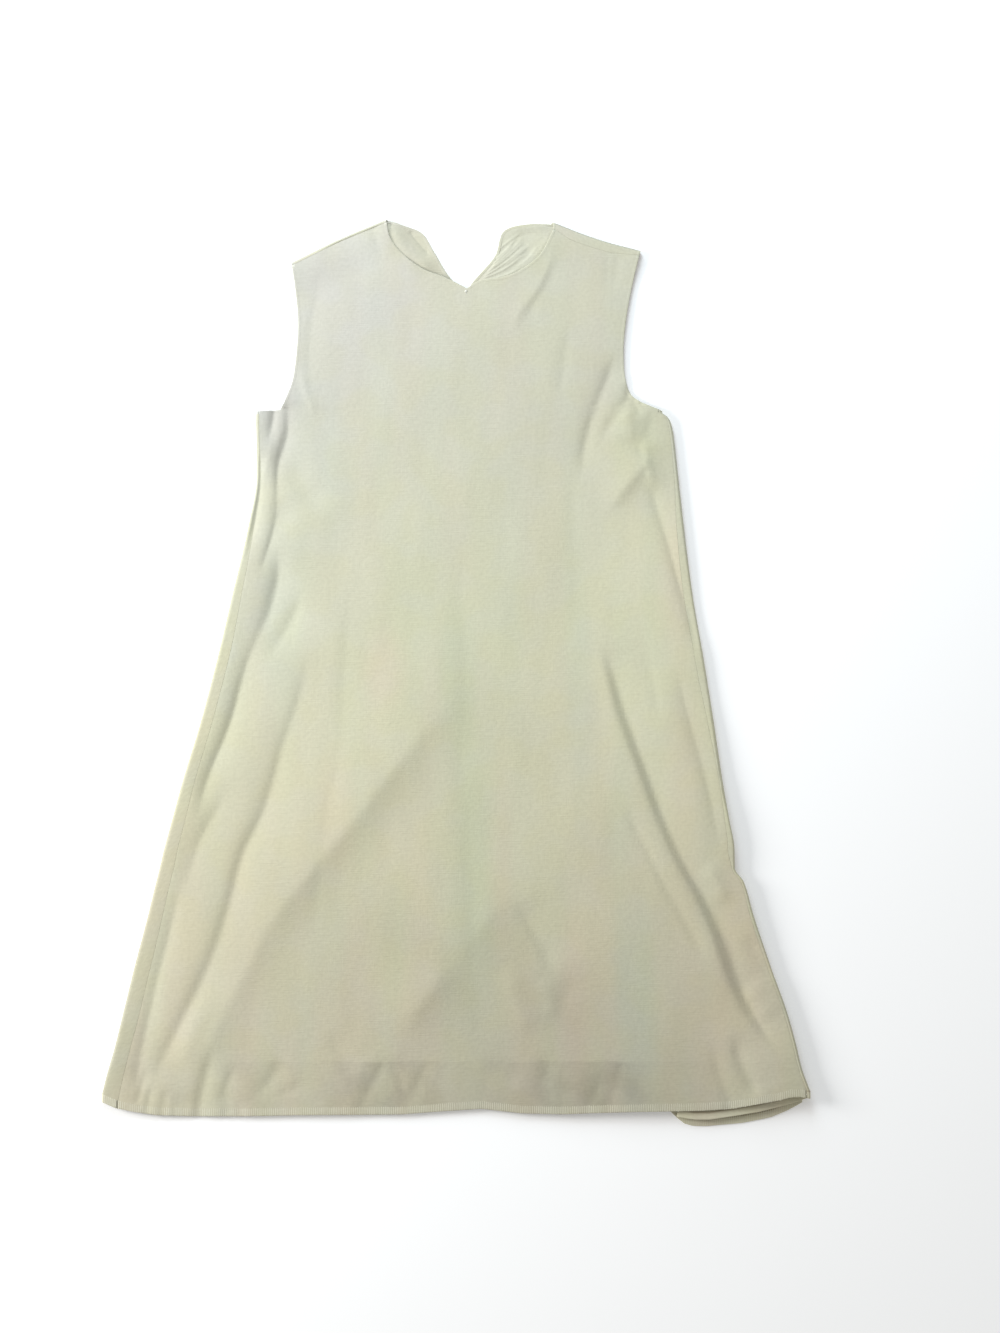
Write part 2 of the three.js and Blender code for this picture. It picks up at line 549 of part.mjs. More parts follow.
function buildBack() {
  const armLeft = insetArmLeft(backArmLeft, PANEL_INSET);
  const armRight = insetArmRight(backArmRight, PANEL_INSET);
  const cornerLeft = armLeft[SHELF_COLUMNS];
  const cornerRight = armRight[SHELF_COLUMNS];

  // The X positions, layer heights and cloth angles along one row.
  const sectionAt = (y) => {
    const tuck = tuckAt(y);
    const [left, right] = [leftRoll(y).x, rightRoll(y).x];
    const start = lerp(tuck.rightEdge, right - TUCK.margin - tuck.run, tuck.flat);
    const level = (x, rise) => ({ x, rise, angle: 0 });
    return [
      ...LEFT_PARTS.map((part) => level(lerp(left, start, part), 0)),
      ...TUCK_PARTS.map((part) => {
        const { run, rise, angle } = tuckPoint(tuck, part);
        return { x: start + run, rise, angle };
      }),
      ...RIGHT_PARTS.map((part) => level(lerp(start + tuck.run, right, part), tuck.rise)),
    ];
  };

  // The row at the underarm follows the inset armhole edges at both of its ends.
  const topSection = sectionAt(UNDERARM);
  const topRow = topSection.map(({ x }) => {
    const part = clamp((x - cornerLeft.x) / (cornerRight.x - cornerLeft.x), 0, 1);
    return new THREE.Vector2(x, lerp(cornerLeft.y, cornerRight.y, part));
  });
  const last = topRow.length - 1;
  const upperTuck = LEFT_PARTS.length + 2;
  for (let i = 0; i <= SHELF_COLUMNS; i += 1) {
    topRow[i] = armLeft[i];
    topRow[last - i] = armRight[i];
  }

  const body = ROW_HEIGHTS.map((height, row) => {
    const section = sectionAt(height);
    const hem = (x, i) => {
      if (i === 0 || i === last) return lookUp(FRONT_HEM, x);
      return lookUp(i < upperTuck ? BACK_HEM : TUCK_HEM, x);
    };
    const xs = section.map(({ x }) => x);
    const line = row === ROW_HEIGHTS.length - 1 ? topRow : bodyRow(height, xs, hem, topRow);
    return line.map((point, i) => {
      const { rise, angle } = section[i];
      const normal = new THREE.Vector3(Math.sin(angle), 0, -Math.cos(angle));
      return spot(point.x, point.y, FLOOR_LAYER + rise, normal);
    });
  });
  const withRolls = body.map((row, i) => {
    const low = 1 - smooth(ROW_HEIGHTS[i], 0, HEM_FADE);
    const roll = ({ point }, { bottom, top, flap }, sign) => travels(bottom, top, flap).map(
      (travel) => {
        const item = rolled(point, new THREE.Vector2(sign, 0), bottom, top, travel);
        item.point.y += (lookUp(FRONT_HEM, item.point.x) - lookUp(FRONT_HEM, point.x)) * low;
        return item;
      });
    const leftSide = roll(row[0], leftRoll(ROW_HEIGHTS[i]), -1).reverse();
    const rightSide = roll(row[row.length - 1], rightRoll(ROW_HEIGHTS[i]), 1);
    return [...leftSide, ...row, ...rightSide];
  });

  // The yoke, from the underarm up to the shoulder folds and the slit neck.
  const neckLeft = insetNeckLeft(PANEL_INSET);
  const neckRight = insetNeckRight(PANEL_INSET);
  const bottom = body[body.length - 1].slice(SHELF_COLUMNS, last - SHELF_COLUMNS + 1)
    .map((item) => new THREE.Vector2(item.point.x, item.point.y));
  const neckColumns = LEFT_SHOULDER_STEPS + NECK_STEPS * 2;
  const underRight = bottom.slice(neckColumns);
  const span = underRight[underRight.length - 1].x - underRight[0].x;
  const rightFractions = underRight.map((item) => (item.x - underRight[0].x) / span);
  const foldLeft = shoulderLine(
    leftShoulder, neckLeft[0], armLeft[armLeft.length - 1], evenly(LEFT_SHOULDER_STEPS), false);
  const foldRight = shoulderLine(
    rightShoulder, neckRight[neckRight.length - 1], armRight[armRight.length - 1], rightFractions, false);
  const top = [
    ...[...foldLeft].reverse(),
    ...neckLeft.slice(1, -1),
    new THREE.Vector2(...SLIT_POINT),
    ...neckRight.slice(1, -1),
    ...foldRight,
  ];
  const yoke = patch(bottom, top, armLeft.slice(SHELF_COLUMNS), armRight.slice(SHELF_COLUMNS));
  const shared = body[body.length - 1].slice(SHELF_COLUMNS, last - SHELF_COLUMNS + 1);
  const yokeSpots = [shared, ...yoke.slice(1).map((row) => row.map(onSurface))];
  const topSpots = yokeSpots[yokeSpots.length - 1];

  // Each shoulder rolls over to meet the front's seam, sliding a little so that the corners agree.
  const rollShoulder = (side, spots, fractions, frontNeckEnd, frontArmEnd) => {
    const slideAt = (item, target) => target.clone()
      .sub(new THREE.Vector2(item.point.x, item.point.y)).dot(side.direction);
    const atNeck = fractions[0] === 0 ? spots[0] : spots[spots.length - 1];
    const atArm = fractions[0] === 0 ? spots[spots.length - 1] : spots[0];
    const slides = [slideAt(atNeck, frontNeckEnd), slideAt(atArm, frontArmEnd)];
    const around = Math.PI * (shoulderRoll - FLOOR_LAYER) / 2;
    return evenly(ROLL_STEPS + 1).slice(1).map((_, step) => spots.map((item, i) => {
      const strip = lookUp(side.strips, fractions[i]);
      const flap = Math.max(strip - shoulderDepth, SHORTEST_FLAP);
      const travel = travels(FLOOR_LAYER, shoulderRoll, flap)[step];
      const slide = lerp(slides[0], slides[1], fractions[i]) * travel / (around + flap);
      const start = new THREE.Vector2(item.point.x, item.point.y).addScaledVector(side.direction, slide);
      return rolled(start, side.outward, FLOOR_LAYER, shoulderRoll, travel);
    }));
  };
  const frontArmEnd = (line, inset) => inset(line, PANEL_INSET)[line.length - 1];
  const frontNeckLine = insetFrontNeck(PANEL_INSET);
  const leftTop = topSpots.slice(0, LEFT_SHOULDER_STEPS + 1);
  const leftRolled = rollShoulder(
    leftShoulder, leftTop, evenly(LEFT_SHOULDER_STEPS).reverse(),
    frontNeckLine[0], frontArmEnd(frontArmLeft, insetArmLeft));
  const rightTop = topSpots.slice(neckColumns);
  const rightRolled = rollShoulder(
    rightShoulder, rightTop, rightFractions,
    frontNeckLine[frontNeckLine.length - 1], frontArmEnd(frontArmRight, insetArmRight));
  return {
    grids: [withRolls, yokeSpots, [leftTop, ...leftRolled], [rightTop, ...rightRolled]],
    hemRow: withRolls[0],
    underarm: withRolls[withRolls.length - 1],
    leftRolled,
    rightRolled,
  };
}

// ---------------------------------------------------------------------------------------------
// Bindings and hem edges
// ---------------------------------------------------------------------------------------------

// A strip from two lines of spots, the inner one against the panel and the outer one on the edge.
function strip(name, innerRow, outerRow, wall, color, facesUp) {
  const rows = [innerRow, outerRow].map((row) => row.map((item) => sunk(item, wall)));
  return clothSolid(name, [rows], wall, color, facesUp);
}

// Copies of spots on the edge of a panel, moved out from it in its own plane.
function outFrom(spots, direction, distance) {
  return spots.map((item) => ({
    point: item.point.clone().add(new THREE.Vector3(direction.x, direction.y, 0).multiplyScalar(distance)),
    normal: item.normal.clone(),
  }));
}

const front = buildFront();
const back = buildBack();

function frontBinding(name, insetLine, flipped) {
  const rows = [insetLine(BINDING_WIDTH), insetLine(0)].map((line) => line.map(onFront));
  return strip(name, ...rows, BINDING_WALL, SAGE_SHADE, !flipped);
}

// A binding of the back: its line on the surface, with the rolled ends that carry it over the folds.
function backBinding(name, insetLine, before, after, flipped) {
  const rows = [[BINDING_WIDTH, SEAM_GAP], [0, PANEL_INSET]].map(([inset, out]) => [
    ...(before ? outFrom(before.spots, before.direction, out) : []),
    ...insetLine(inset).map(onSurface),
    ...(after ? outFrom(after.spots, after.direction, out) : []),
  ]);
  return strip(name, ...rows, BINDING_WALL, SAGE_SHADE, flipped);
}

const UP = new THREE.Vector2(0, 1);
const rolledSpots = ROLL_STEPS + 1;
const firstOf = (rows) => rows.map((row) => row[0]);
const lastOf = (rows) => rows.map((row) => row[row.length - 1]);
const shortened = (line, fromStart) => {
  const copy = line.map((item) => item.clone());
  const [end, next] = fromStart ? [copy[0], copy[1]] : [copy[copy.length - 1], copy[copy.length - 2]];
  end.lerp(next, 0.05);
  return copy;
};

function hemEdge(name, row, upward, settle) {
  const rows = [SEAM_GAP, SEAM_GAP + HEM_WIDTH].map((distance) => row.map((item) => settle(item, distance)));
  return strip(name, ...rows, CLOTH, SAGE_SHADE, upward);
}

function moveDown(item, distance) {
  return { point: item.point.clone().setY(item.point.y - distance), normal: item.normal.clone() };
}

const underarmLeft = {
  spots: back.underarm.slice(0, rolledSpots),
  direction: UP,
};
const underarmRight = {
  spots: back.underarm.slice(-rolledSpots).reverse(),
  direction: UP,
};
const overShoulder = (rows, side, atNeck) => ({
  spots: rows,
  direction: side.direction.clone().multiplyScalar(atNeck ? -1 : 1),
});

function bead() {
  const [x, y] = [10, 873];
  const geometry = new THREE.SphereGeometry(BEAD_RADIUS, 10, 6);
  const mesh = new THREE.Mesh(
    geometry, new THREE.MeshStandardMaterial({ color: BEAD_WHITE, roughness: 0.4, metalness: 0 }));
  mesh.name = 'notch_bead';
  mesh.position.set(x, y, frontHeight(x, y) + CLOTH / 2 + SEAM_GAP + BEAD_RADIUS);
  return mesh;
}

function build() {
  const group = new THREE.Group();
  group.add(clothSolid('back', back.grids, CLOTH, SAGE, false));
  group.add(clothSolid('front', front.grids, CLOTH, SAGE, true));
  group.add(frontBinding('neck_binding_front', insetFrontNeck, false));
  group.add(frontBinding('armhole_binding_front_left', (d) => insetArmLeft(frontArmLeft, d), false));
  group.add(frontBinding('armhole_binding_front_right', (d) => insetArmRight(frontArmRight, d), true));
  group.add(backBinding(
    'armhole_binding_back_left', (d) => insetArmLeft(backArmLeft, d),
    underarmLeft, overShoulder(firstOf(back.leftRolled), leftShoulder, false), false));
  group.add(backBinding(
    'armhole_binding_back_right', (d) => insetArmRight(backArmRight, d),
    underarmRight, overShoulder(lastOf(back.rightRolled), rightShoulder, false), true));
  group.add(backBinding(
    'neck_binding_back_left', (d) => shortened(insetNeckLeft(d), false),
    overShoulder(lastOf(back.leftRolled), leftShoulder, true), null, false));
  group.add(backBinding(
    'neck_binding_back_right', (d) => shortened(insetNeckRight(d), true),
    null, overShoulder(firstOf(back.rightRolled), rightShoulder, true), false));
  group.add(hemEdge('hem_edge_back', back.hemRow, true, moveDown));
  group.add(hemEdge('hem_edge_front', front.hemRow, false,
    (item, distance) => onFront({ x: item.x, y: item.y - distance })));
  group.add(bead());
  return group;
}
const dress = build();
const box = new THREE.Box3().setFromObject(dress);
dress.position.set(-(box.min.x + box.max.x) / 2, -(box.min.y + box.max.y) / 2, -box.min.z);
export default dress;
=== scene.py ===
"""A sleeveless A-line shift dress in pale sage crepe, laid flat on its back with its front up."""

import math

import bmesh
import bpy
import numpy as np
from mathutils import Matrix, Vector


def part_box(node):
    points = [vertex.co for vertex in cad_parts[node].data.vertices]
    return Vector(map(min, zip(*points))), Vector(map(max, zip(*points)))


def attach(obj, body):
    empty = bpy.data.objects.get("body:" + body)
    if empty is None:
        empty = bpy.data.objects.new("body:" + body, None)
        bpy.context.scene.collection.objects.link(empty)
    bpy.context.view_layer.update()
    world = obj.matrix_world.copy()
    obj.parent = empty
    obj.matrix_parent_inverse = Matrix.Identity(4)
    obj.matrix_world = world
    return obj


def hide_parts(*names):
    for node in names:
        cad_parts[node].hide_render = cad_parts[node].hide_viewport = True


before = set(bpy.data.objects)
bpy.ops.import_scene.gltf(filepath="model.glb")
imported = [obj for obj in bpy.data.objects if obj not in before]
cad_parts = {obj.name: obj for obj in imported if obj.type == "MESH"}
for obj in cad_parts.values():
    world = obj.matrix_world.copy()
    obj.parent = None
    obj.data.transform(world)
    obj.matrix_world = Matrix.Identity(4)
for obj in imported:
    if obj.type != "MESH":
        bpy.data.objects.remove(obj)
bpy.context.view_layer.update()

# ---------------------------------------------------------------------------------------------
# The pattern that the dress is laid out on
# ---------------------------------------------------------------------------------------------
# The dress was cut and laid with its hem line as zero height and its middle as zero width, so all
# its sizes are in millimetres on that pattern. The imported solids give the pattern's place.

MM = 0.001
LEFT_REACH = 362.65
pattern_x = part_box("back")[0][0] + LEFT_REACH * MM
pattern_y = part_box("hem_edge_front")[0][1]


def in_place(x, y, z):
    """Points of the pattern, in millimetres, as points of the frame in metres."""
    x, y, z = np.broadcast_arrays(x, y, z)
    return np.stack((x * MM + pattern_x, y * MM + pattern_y, z * MM), axis=-1)


# ---------------------------------------------------------------------------------------------
# Camera, floor and light
# ---------------------------------------------------------------------------------------------
# The dress lies on a plain pale floor and is looked at from almost straight above. A broad soft
# lamp stands low beyond its left side, and a weaker, bluer one beyond its shoulders.

CAMERA_DISTANCE = 2.2
CAMERA_ELEVATION = math.radians(82)
CAMERA_AIM = (47, 463)
FLOOR_REACH = 6

camera = bpy.data.objects.new("camera", bpy.data.cameras.new("camera"))
bpy.context.collection.objects.link(camera)
bpy.context.scene.camera = camera
camera.data.lens = 56
camera.data.sensor_width = 36
aim = Vector(in_place(*CAMERA_AIM, 0))
back_off = Vector((0, -math.cos(CAMERA_ELEVATION), math.sin(CAMERA_ELEVATION)))
camera.location = aim + back_off * CAMERA_DISTANCE
camera.rotation_euler = (-back_off).to_track_quat("-Z", "Y").to_euler()

floor_mesh = bpy.data.meshes.new("floor")
bm = bmesh.new()
bmesh.ops.create_grid(bm, x_segments=1, y_segments=1, size=FLOOR_REACH)
bm.to_mesh(floor_mesh)
bm.free()
floor = bpy.data.objects.new("floor", floor_mesh)
bpy.context.collection.objects.link(floor)
floor_paint = bpy.data.materials.new("floor_paint")
floor_paint.use_nodes = True
paint = floor_paint.node_tree.nodes["Principled BSDF"].inputs
paint["Base Color"].default_value = (0.95, 0.95, 0.95, 1)
paint["Roughness"].default_value = 0.9
paint["Emission Color"].default_value = (1, 1, 1, 1)
paint["Emission Strength"].default_value = 0.14
floor_mesh.materials.append(floor_paint)

LAMPS = (
    # name, place in metres from the middle of the dress, side in metres, watts, colour
    ("key", (-2.3, 0.3, 0.75), 0.8, 77, (0.98, 0.985, 0.99)),
    ("window", (-0.3, 1.5, 0.8), 1.0, 24, (0.80, 0.91, 1.0)),
)
for name, place, side, watts, colour in LAMPS:
    lamp = bpy.data.lights.new(name, "AREA")
    lamp.size = side
    lamp.energy = watts
    lamp.color = colour
    stand = bpy.data.objects.new(name, lamp)
    bpy.context.collection.objects.link(stand)
    stand.location = place
    stand.rotation_euler = (-Vector(place)).to_track_quat("-Z", "Y").to_euler()

world = bpy.data.worlds.new("studio")
bpy.context.scene.world = world
world.use_nodes = True
world.node_tree.nodes["Background"].inputs["Color"].default_value = (1, 0.985, 0.95, 1)
world.node_tree.nodes["Background"].inputs["Strength"].default_value = 0.43
bpy.context.scene.view_settings.view_transform = "Standard"

# ---------------------------------------------------------------------------------------------
# The front
# ---------------------------------------------------------------------------------------------
# One A-line panel of thin crepe, cut with armholes and a round neck that dips to a small notch.
# It lies loosely on the back, springs up a little beside the folded edges, and has taken soft
# folds from being turned over and smoothed out by hand.

CLOTH = 0.8              # thickness of the crepe
FLOOR_LAYER = CLOTH / 2  # height of the middle of the cloth that lies on the floor
REST_HEIGHT = 3.3        # height of the front where it lies loosely on the back
LOWEST = 1.35            # height that no trough goes far below
FOLD_HEIGHT = 4.8        # height of the front beside a folded edge
SIDE_SPRING = 115        # how far in from a side fold the front is raised by it
SHOULDER_SPRING = 45     # the same below a shoulder
SPRING_TOP = 8           # how far in from a fold the front keeps its full height
SPRING_END = 60          # how far above the underarm the raised strip beside a side fold ends
UNDERARM = 736           # height on the pattern where the body ends and the yoke begins
SEAM_GAP = 0.15          # room between two pieces that are sewn together
CUT_RING = 0.08          # width of the flat ring along a cut edge
PANEL_INSET = 2.4        # how far the panels end inside the finished edge, within the bindings
HEM_FADE = 150           # height over which the line of the hem fades out of the rows above
SHELF_FADE = 180         # the same for the armholes' shelves and the rows below them

# Each row is a level of the body: its height, its folded side edges, and the strips of the back
# that roll over them.
SECTIONS = np.array(
    (
        # height, left edge, left strip, right edge, right strip
        (7.3, -363, 17, 366, 4),
        (30, -358.5, 16.5, 358, 4),
        (60, -351.5, 16, 352, 4),
        (100, -343, 17, 343, 4),
        (150, -332, 17, 327, 4),
        (200, -320, 15.5, 311, 4),
        (236, -312, 15, 301, 3.5),
        (249, -309, 15, 292, 3.5),
        (268, -305, 14.5, 292, 7),
        (300, -297, 14, 287, 5),
        (340, -287, 13, 281, 4),
        (400, -270, 12.5, 273, 6.5),
        (470, -253, 12.5, 263, 9.5),
        (540, -238, 10, 252, 9.5),
        (610, -223, 6.5, 244, 8),
        (670, -214, 4, 238, 4.5),
        (714, -215.5, 3.5, 233.5, 4),
        (726, -216, 3.5, 231, 4),
        (732, -216, 3.5, 227.5, 3.8),
        (736, -216, 3.5, 222, 3.5),
    )
)
FRONT_HEM = (
    (-363, 10), (-349, 4), (-330, 0), (-306, -3.5), (-270, -4.6), (-215, -4.6), (-160, -3.6), (-55, -2.8),
    (-12, 0.4), (28, 3), (69, -1.6), (110, -2.6), (151, -1), (192, 0), (250, 1), (285, 3), (335, 12),
    (346, 15), (356, 15.2), (366, 13.5),
)
ARMHOLE_LEFT = ((-216, 740), (-190, 742), (-184, 755), (-176, 781), (-172, 832), (-175, 872), (-180, 905))
ARMHOLE_RIGHT = (
    (230, 737), (200, 750), (188, 760), (182, 781), (181, 814), (185, 850), (192, 886), (200, 919),
)
NECK_FRONT_LEFT = ((-77, 954), (-72, 933), (-55, 913), (-35, 899), (-12, 890), (11, 878))
NECK_FRONT_RIGHT = ((11, 878), (26, 887), (52, 891), (73, 901), (92, 918), (105, 944))
SHOULDER_LEFT = ((-77, 956), (-128, 933.5), (-180, 907))
SHOULDER_RIGHT = ((109, 951), (135, 940), (170, 928), (200, 920))
STRIP_LEFT = ((0, 3.6), (1, 3.6))
STRIP_RIGHT = ((0, 7), (0.2, 11), (0.7, 10.5), (1, 6))

# The tuck in the back, which the front is raised by. It is folded up to one height and fades out
# above it. Pairs are at the hem and at that height.
TUCK_RADIUS = 1.1        # of its two folds
TUCK_EDGE = (359, 284)   # where its outer fold lies
TUCK_DEPTH = (130, 1)    # how far its inner fold lies from the outer one
TUCK_CLOSED = 255
TUCK_RAMP = 220          # how far off the front begins to rise over it
TUCK_RAMP_END = 40       # how far above its top the front begins to come down again
TUCK_EDGE_RISE = (12, 4)  # how far from its inner fold its layers themselves begin and end to rise
TRIM_STEPS = 2000        # how finely the ends of an opening's lines are found


def smooth(low, high, at):
    """A soft step from 0 at low to 1 at high."""
    part = np.clip((np.asarray(at, float) - low) / (high - low), 0, 1)
    return part * part * (3 - 2 * part)


def look_up(table, at):
    """The value between the rows of a table of (place, value)."""
    places, values = zip(*table)
    return np.interp(at, places, values)


def flowing(column, at):
    """A column of SECTIONS at any height, as a smooth line that never overshoots its rows."""
    heights, values = SECTIONS[:, 0], SECTIONS[:, column]
    at = np.clip(at, heights[0], heights[-1])
    steps = np.diff(values) / np.diff(heights)
    same = steps[:-1] * steps[1:] > 0
    total = np.where(same, steps[:-1] + steps[1:], 1)
    inner = np.where(same, 2 * steps[:-1] * steps[1:] / total, 0)
    slopes = np.concatenate((steps[:1], inner, steps[-1:]))
    i = np.clip(np.searchsorted(heights, at) - 1, 0, len(heights) - 2)
    width = heights[i + 1] - heights[i]
    t = (at - heights[i]) / width
    rise = t * t * (3 - 2 * t)
    lean = slopes[i] * t * (1 - t) ** 2 - slopes[i + 1] * t * t * (1 - t)
    return values[i] + (values[i + 1] - values[i]) * rise + lean * width


def spline(points, parts):
    """Points at the given fractions along a smooth line through the named ones."""
    points = np.asarray(points, float)
    last = len(points) - 1
    at = np.clip(parts, 0, 1) * last
    i = np.minimum(at.astype(int), last - 1)
    t = (at - i)[:, None]
    before, start = points[np.maximum(i - 1, 0)], points[i]
    end, after = points[i + 1], points[np.minimum(i + 2, last)]
    leave, arrive = (end - before) / 2, (after - start) / 2
    return (
        start
        + leave * t
        + (3 * (end - start) - 2 * leave - arrive) * t**2
        + (2 * (start - end) + leave + arrive) * t**3
    )


def moved(points, distance, start_way=None, end_way=None):
    """A line moved to its own right, with its ends sliding along the ways given for them."""
    steps = np.diff(points, axis=0)
    steps /= np.linalg.norm(steps, axis=1)[:, None]
    sides = np.stack((steps[:, 1], -steps[:, 0]), axis=1)
    before = np.concatenate((sides[:1], sides))
    after = np.concatenate((sides, sides[-1:]))
    ways = before + after
    ways /= np.linalg.norm(ways, axis=1)[:, None]
    for i, way in ((0, start_way), (-1, end_way)):
        if way is not None:
            ways[i] = way
    reach = distance / np.maximum((ways * after).sum(axis=1), 0.5)
    return points + ways * reach[:, None]


def shoulder_ways(outline):
    """The directions of a shoulder: along it from the neck, and out across it."""
    along = np.subtract(outline[-1], outline[0])
    along = along / np.linalg.norm(along)
    return along, np.array((abs(along[1]) * np.sign(along[0]), abs(along[0])))


ALONG_LEFT, ACROSS_LEFT = shoulder_ways(SHOULDER_LEFT)
ALONG_RIGHT, ACROSS_RIGHT = shoulder_ways(SHOULDER_RIGHT)
DOWN = np.array((0.0, -1.0))


def below_shoulder(outline, x, y):
    """How far points lie below the line of a shoulder."""
    _, across = shoulder_ways(outline)
    return np.abs((x - outline[0][0]) * across[0] + (y - outline[0][1]) * across[1])


def shoulder_depth(x, y):
    """How far points lie below the nearer shoulder."""
    return np.minimum(below_shoulder(SHOULDER_LEFT, x, y), below_shoulder(SHOULDER_RIGHT, x, y))


def trimmed(line, steps, shoulder, depth, at_start=False):
    """The part of a line that stays the given depth below a shoulder, which one of its ends meets."""
    parts = np.linspace(0, 1, TRIM_STEPS + 1)
    inside = parts[below_shoulder(shoulder, *spline(line, parts).T) >= depth]
    ends = (inside[0], 1) if at_start else (0, inside[-1])
    return spline(line, np.linspace(*ends, steps + 1))


def armhole_line(outline, start_x, shelf_parts, rise_steps, shoulder, depth):
    """An armhole's edge from the side seam, along the short underarm shelf and up to the shoulder."""
    (x0, y0), (x1, y1) = outline[:2]
    start = np.array((start_x, y0 + (y1 - y0) * (start_x - x0) / (x1 - x0)))
    shelf = start + (np.array((x1, y1)) - start) * np.asarray(shelf_parts)[:, None]
    rise = trimmed(outline[1:], rise_steps, shoulder, depth)
    return np.concatenate((shelf, rise[1:]))


def shoulder_line(outline, strips, neck_corner, arm_corner, parts, deepened):
    """The line between two corners that follows a shoulder, deepened by its strip."""
    _, across = shoulder_ways(outline)
    chord = np.array(outline[0]) + np.subtract(outline[-1], outline[0]) * parts[:, None]
    bow = ((spline(outline, parts) - chord) * across).sum(axis=1)
    level = strips[0][1] + (strips[-1][1] - strips[0][1]) * parts
    deeper = look_up(strips, parts) - level if deepened else 0
    line = neck_corner + (arm_corner - neck_corner) * parts[:, None]
    return line + across * (bow - deeper)[:, None]


def patch(bottom, top, left, right):
    """Points between four lines that meet at their corners, as rows from bottom to top."""
    across = np.linspace(0, 1, len(bottom))[None, :, None]
    up = np.linspace(0, 1, len(left))[:, None, None]
    sides = left[:, None] * (1 - across) + right[:, None] * across
    ends = bottom[None] * (1 - up) + top[None] * up
    corners = (bottom[0] * (1 - across) + bottom[-1] * across) * (1 - up)
    return sides + ends - corners - (top[0] * (1 - across) + top[-1] * across) * up


def creased(x, y, at, height, left, right, fades=(0.3, 0.3), power=1, crest=1.8):
    """What one crease adds at each point: a ridge along a line, or a trough where it is negative.

    Its height may be several, for even steps from its upper to its lower end. left and right are
    the reaches of its flanks, and fades are the parts of its length over which its two ends die
    out. Its crest is crisp at power 1, and round like a swell at power 2; crest is its rounding."""
    line = spline(at, np.linspace(0, 1, 8 * len(at)))
    whole = line[-1] - line[0]
    added = np.zeros_like(x)
    reach = 5 ** (1 / power) * max(left, right)
    low, high = line.min(axis=0) - reach, line.max(axis=0) + reach
    near = (x > low[0]) & (x < high[0]) & (y > low[1]) & (y < high[1])
    if not near.any():
        return added
    points = np.stack((x[near], y[near]), axis=1)
    best = np.full(len(points), np.inf)
    side = np.zeros(len(points))
    for start, step in zip(line, np.diff(line, axis=0)):
        offset = points - start
        along = np.clip(offset @ step / (step @ step), 0, 1)
        gap = offset - along[:, None] * step
        distance = np.hypot(gap[:, 0], gap[:, 1])
        closer = distance < best
        best[closer] = distance[closer]
        side[closer] = np.sign(step[0] * offset[:, 1] - step[1] * offset[:, 0])[closer]
    width = np.where(side > 0, right, left)
    part = (points - line[0]) @ whole / (whole @ whole)
    fade = smooth(0, max(fades[0], 1e-3), part) * smooth(0, max(fades[1], 1e-3), 1 - part)
    if np.ndim(height):
        fade, height = fade * spline(np.reshape(height, (-1, 1)), part)[:, 0], 1
    away = np.maximum(np.hypot(best, crest) - crest, 0)
    added[near] = height * fade * np.exp(-((away / width) ** power))
    return added


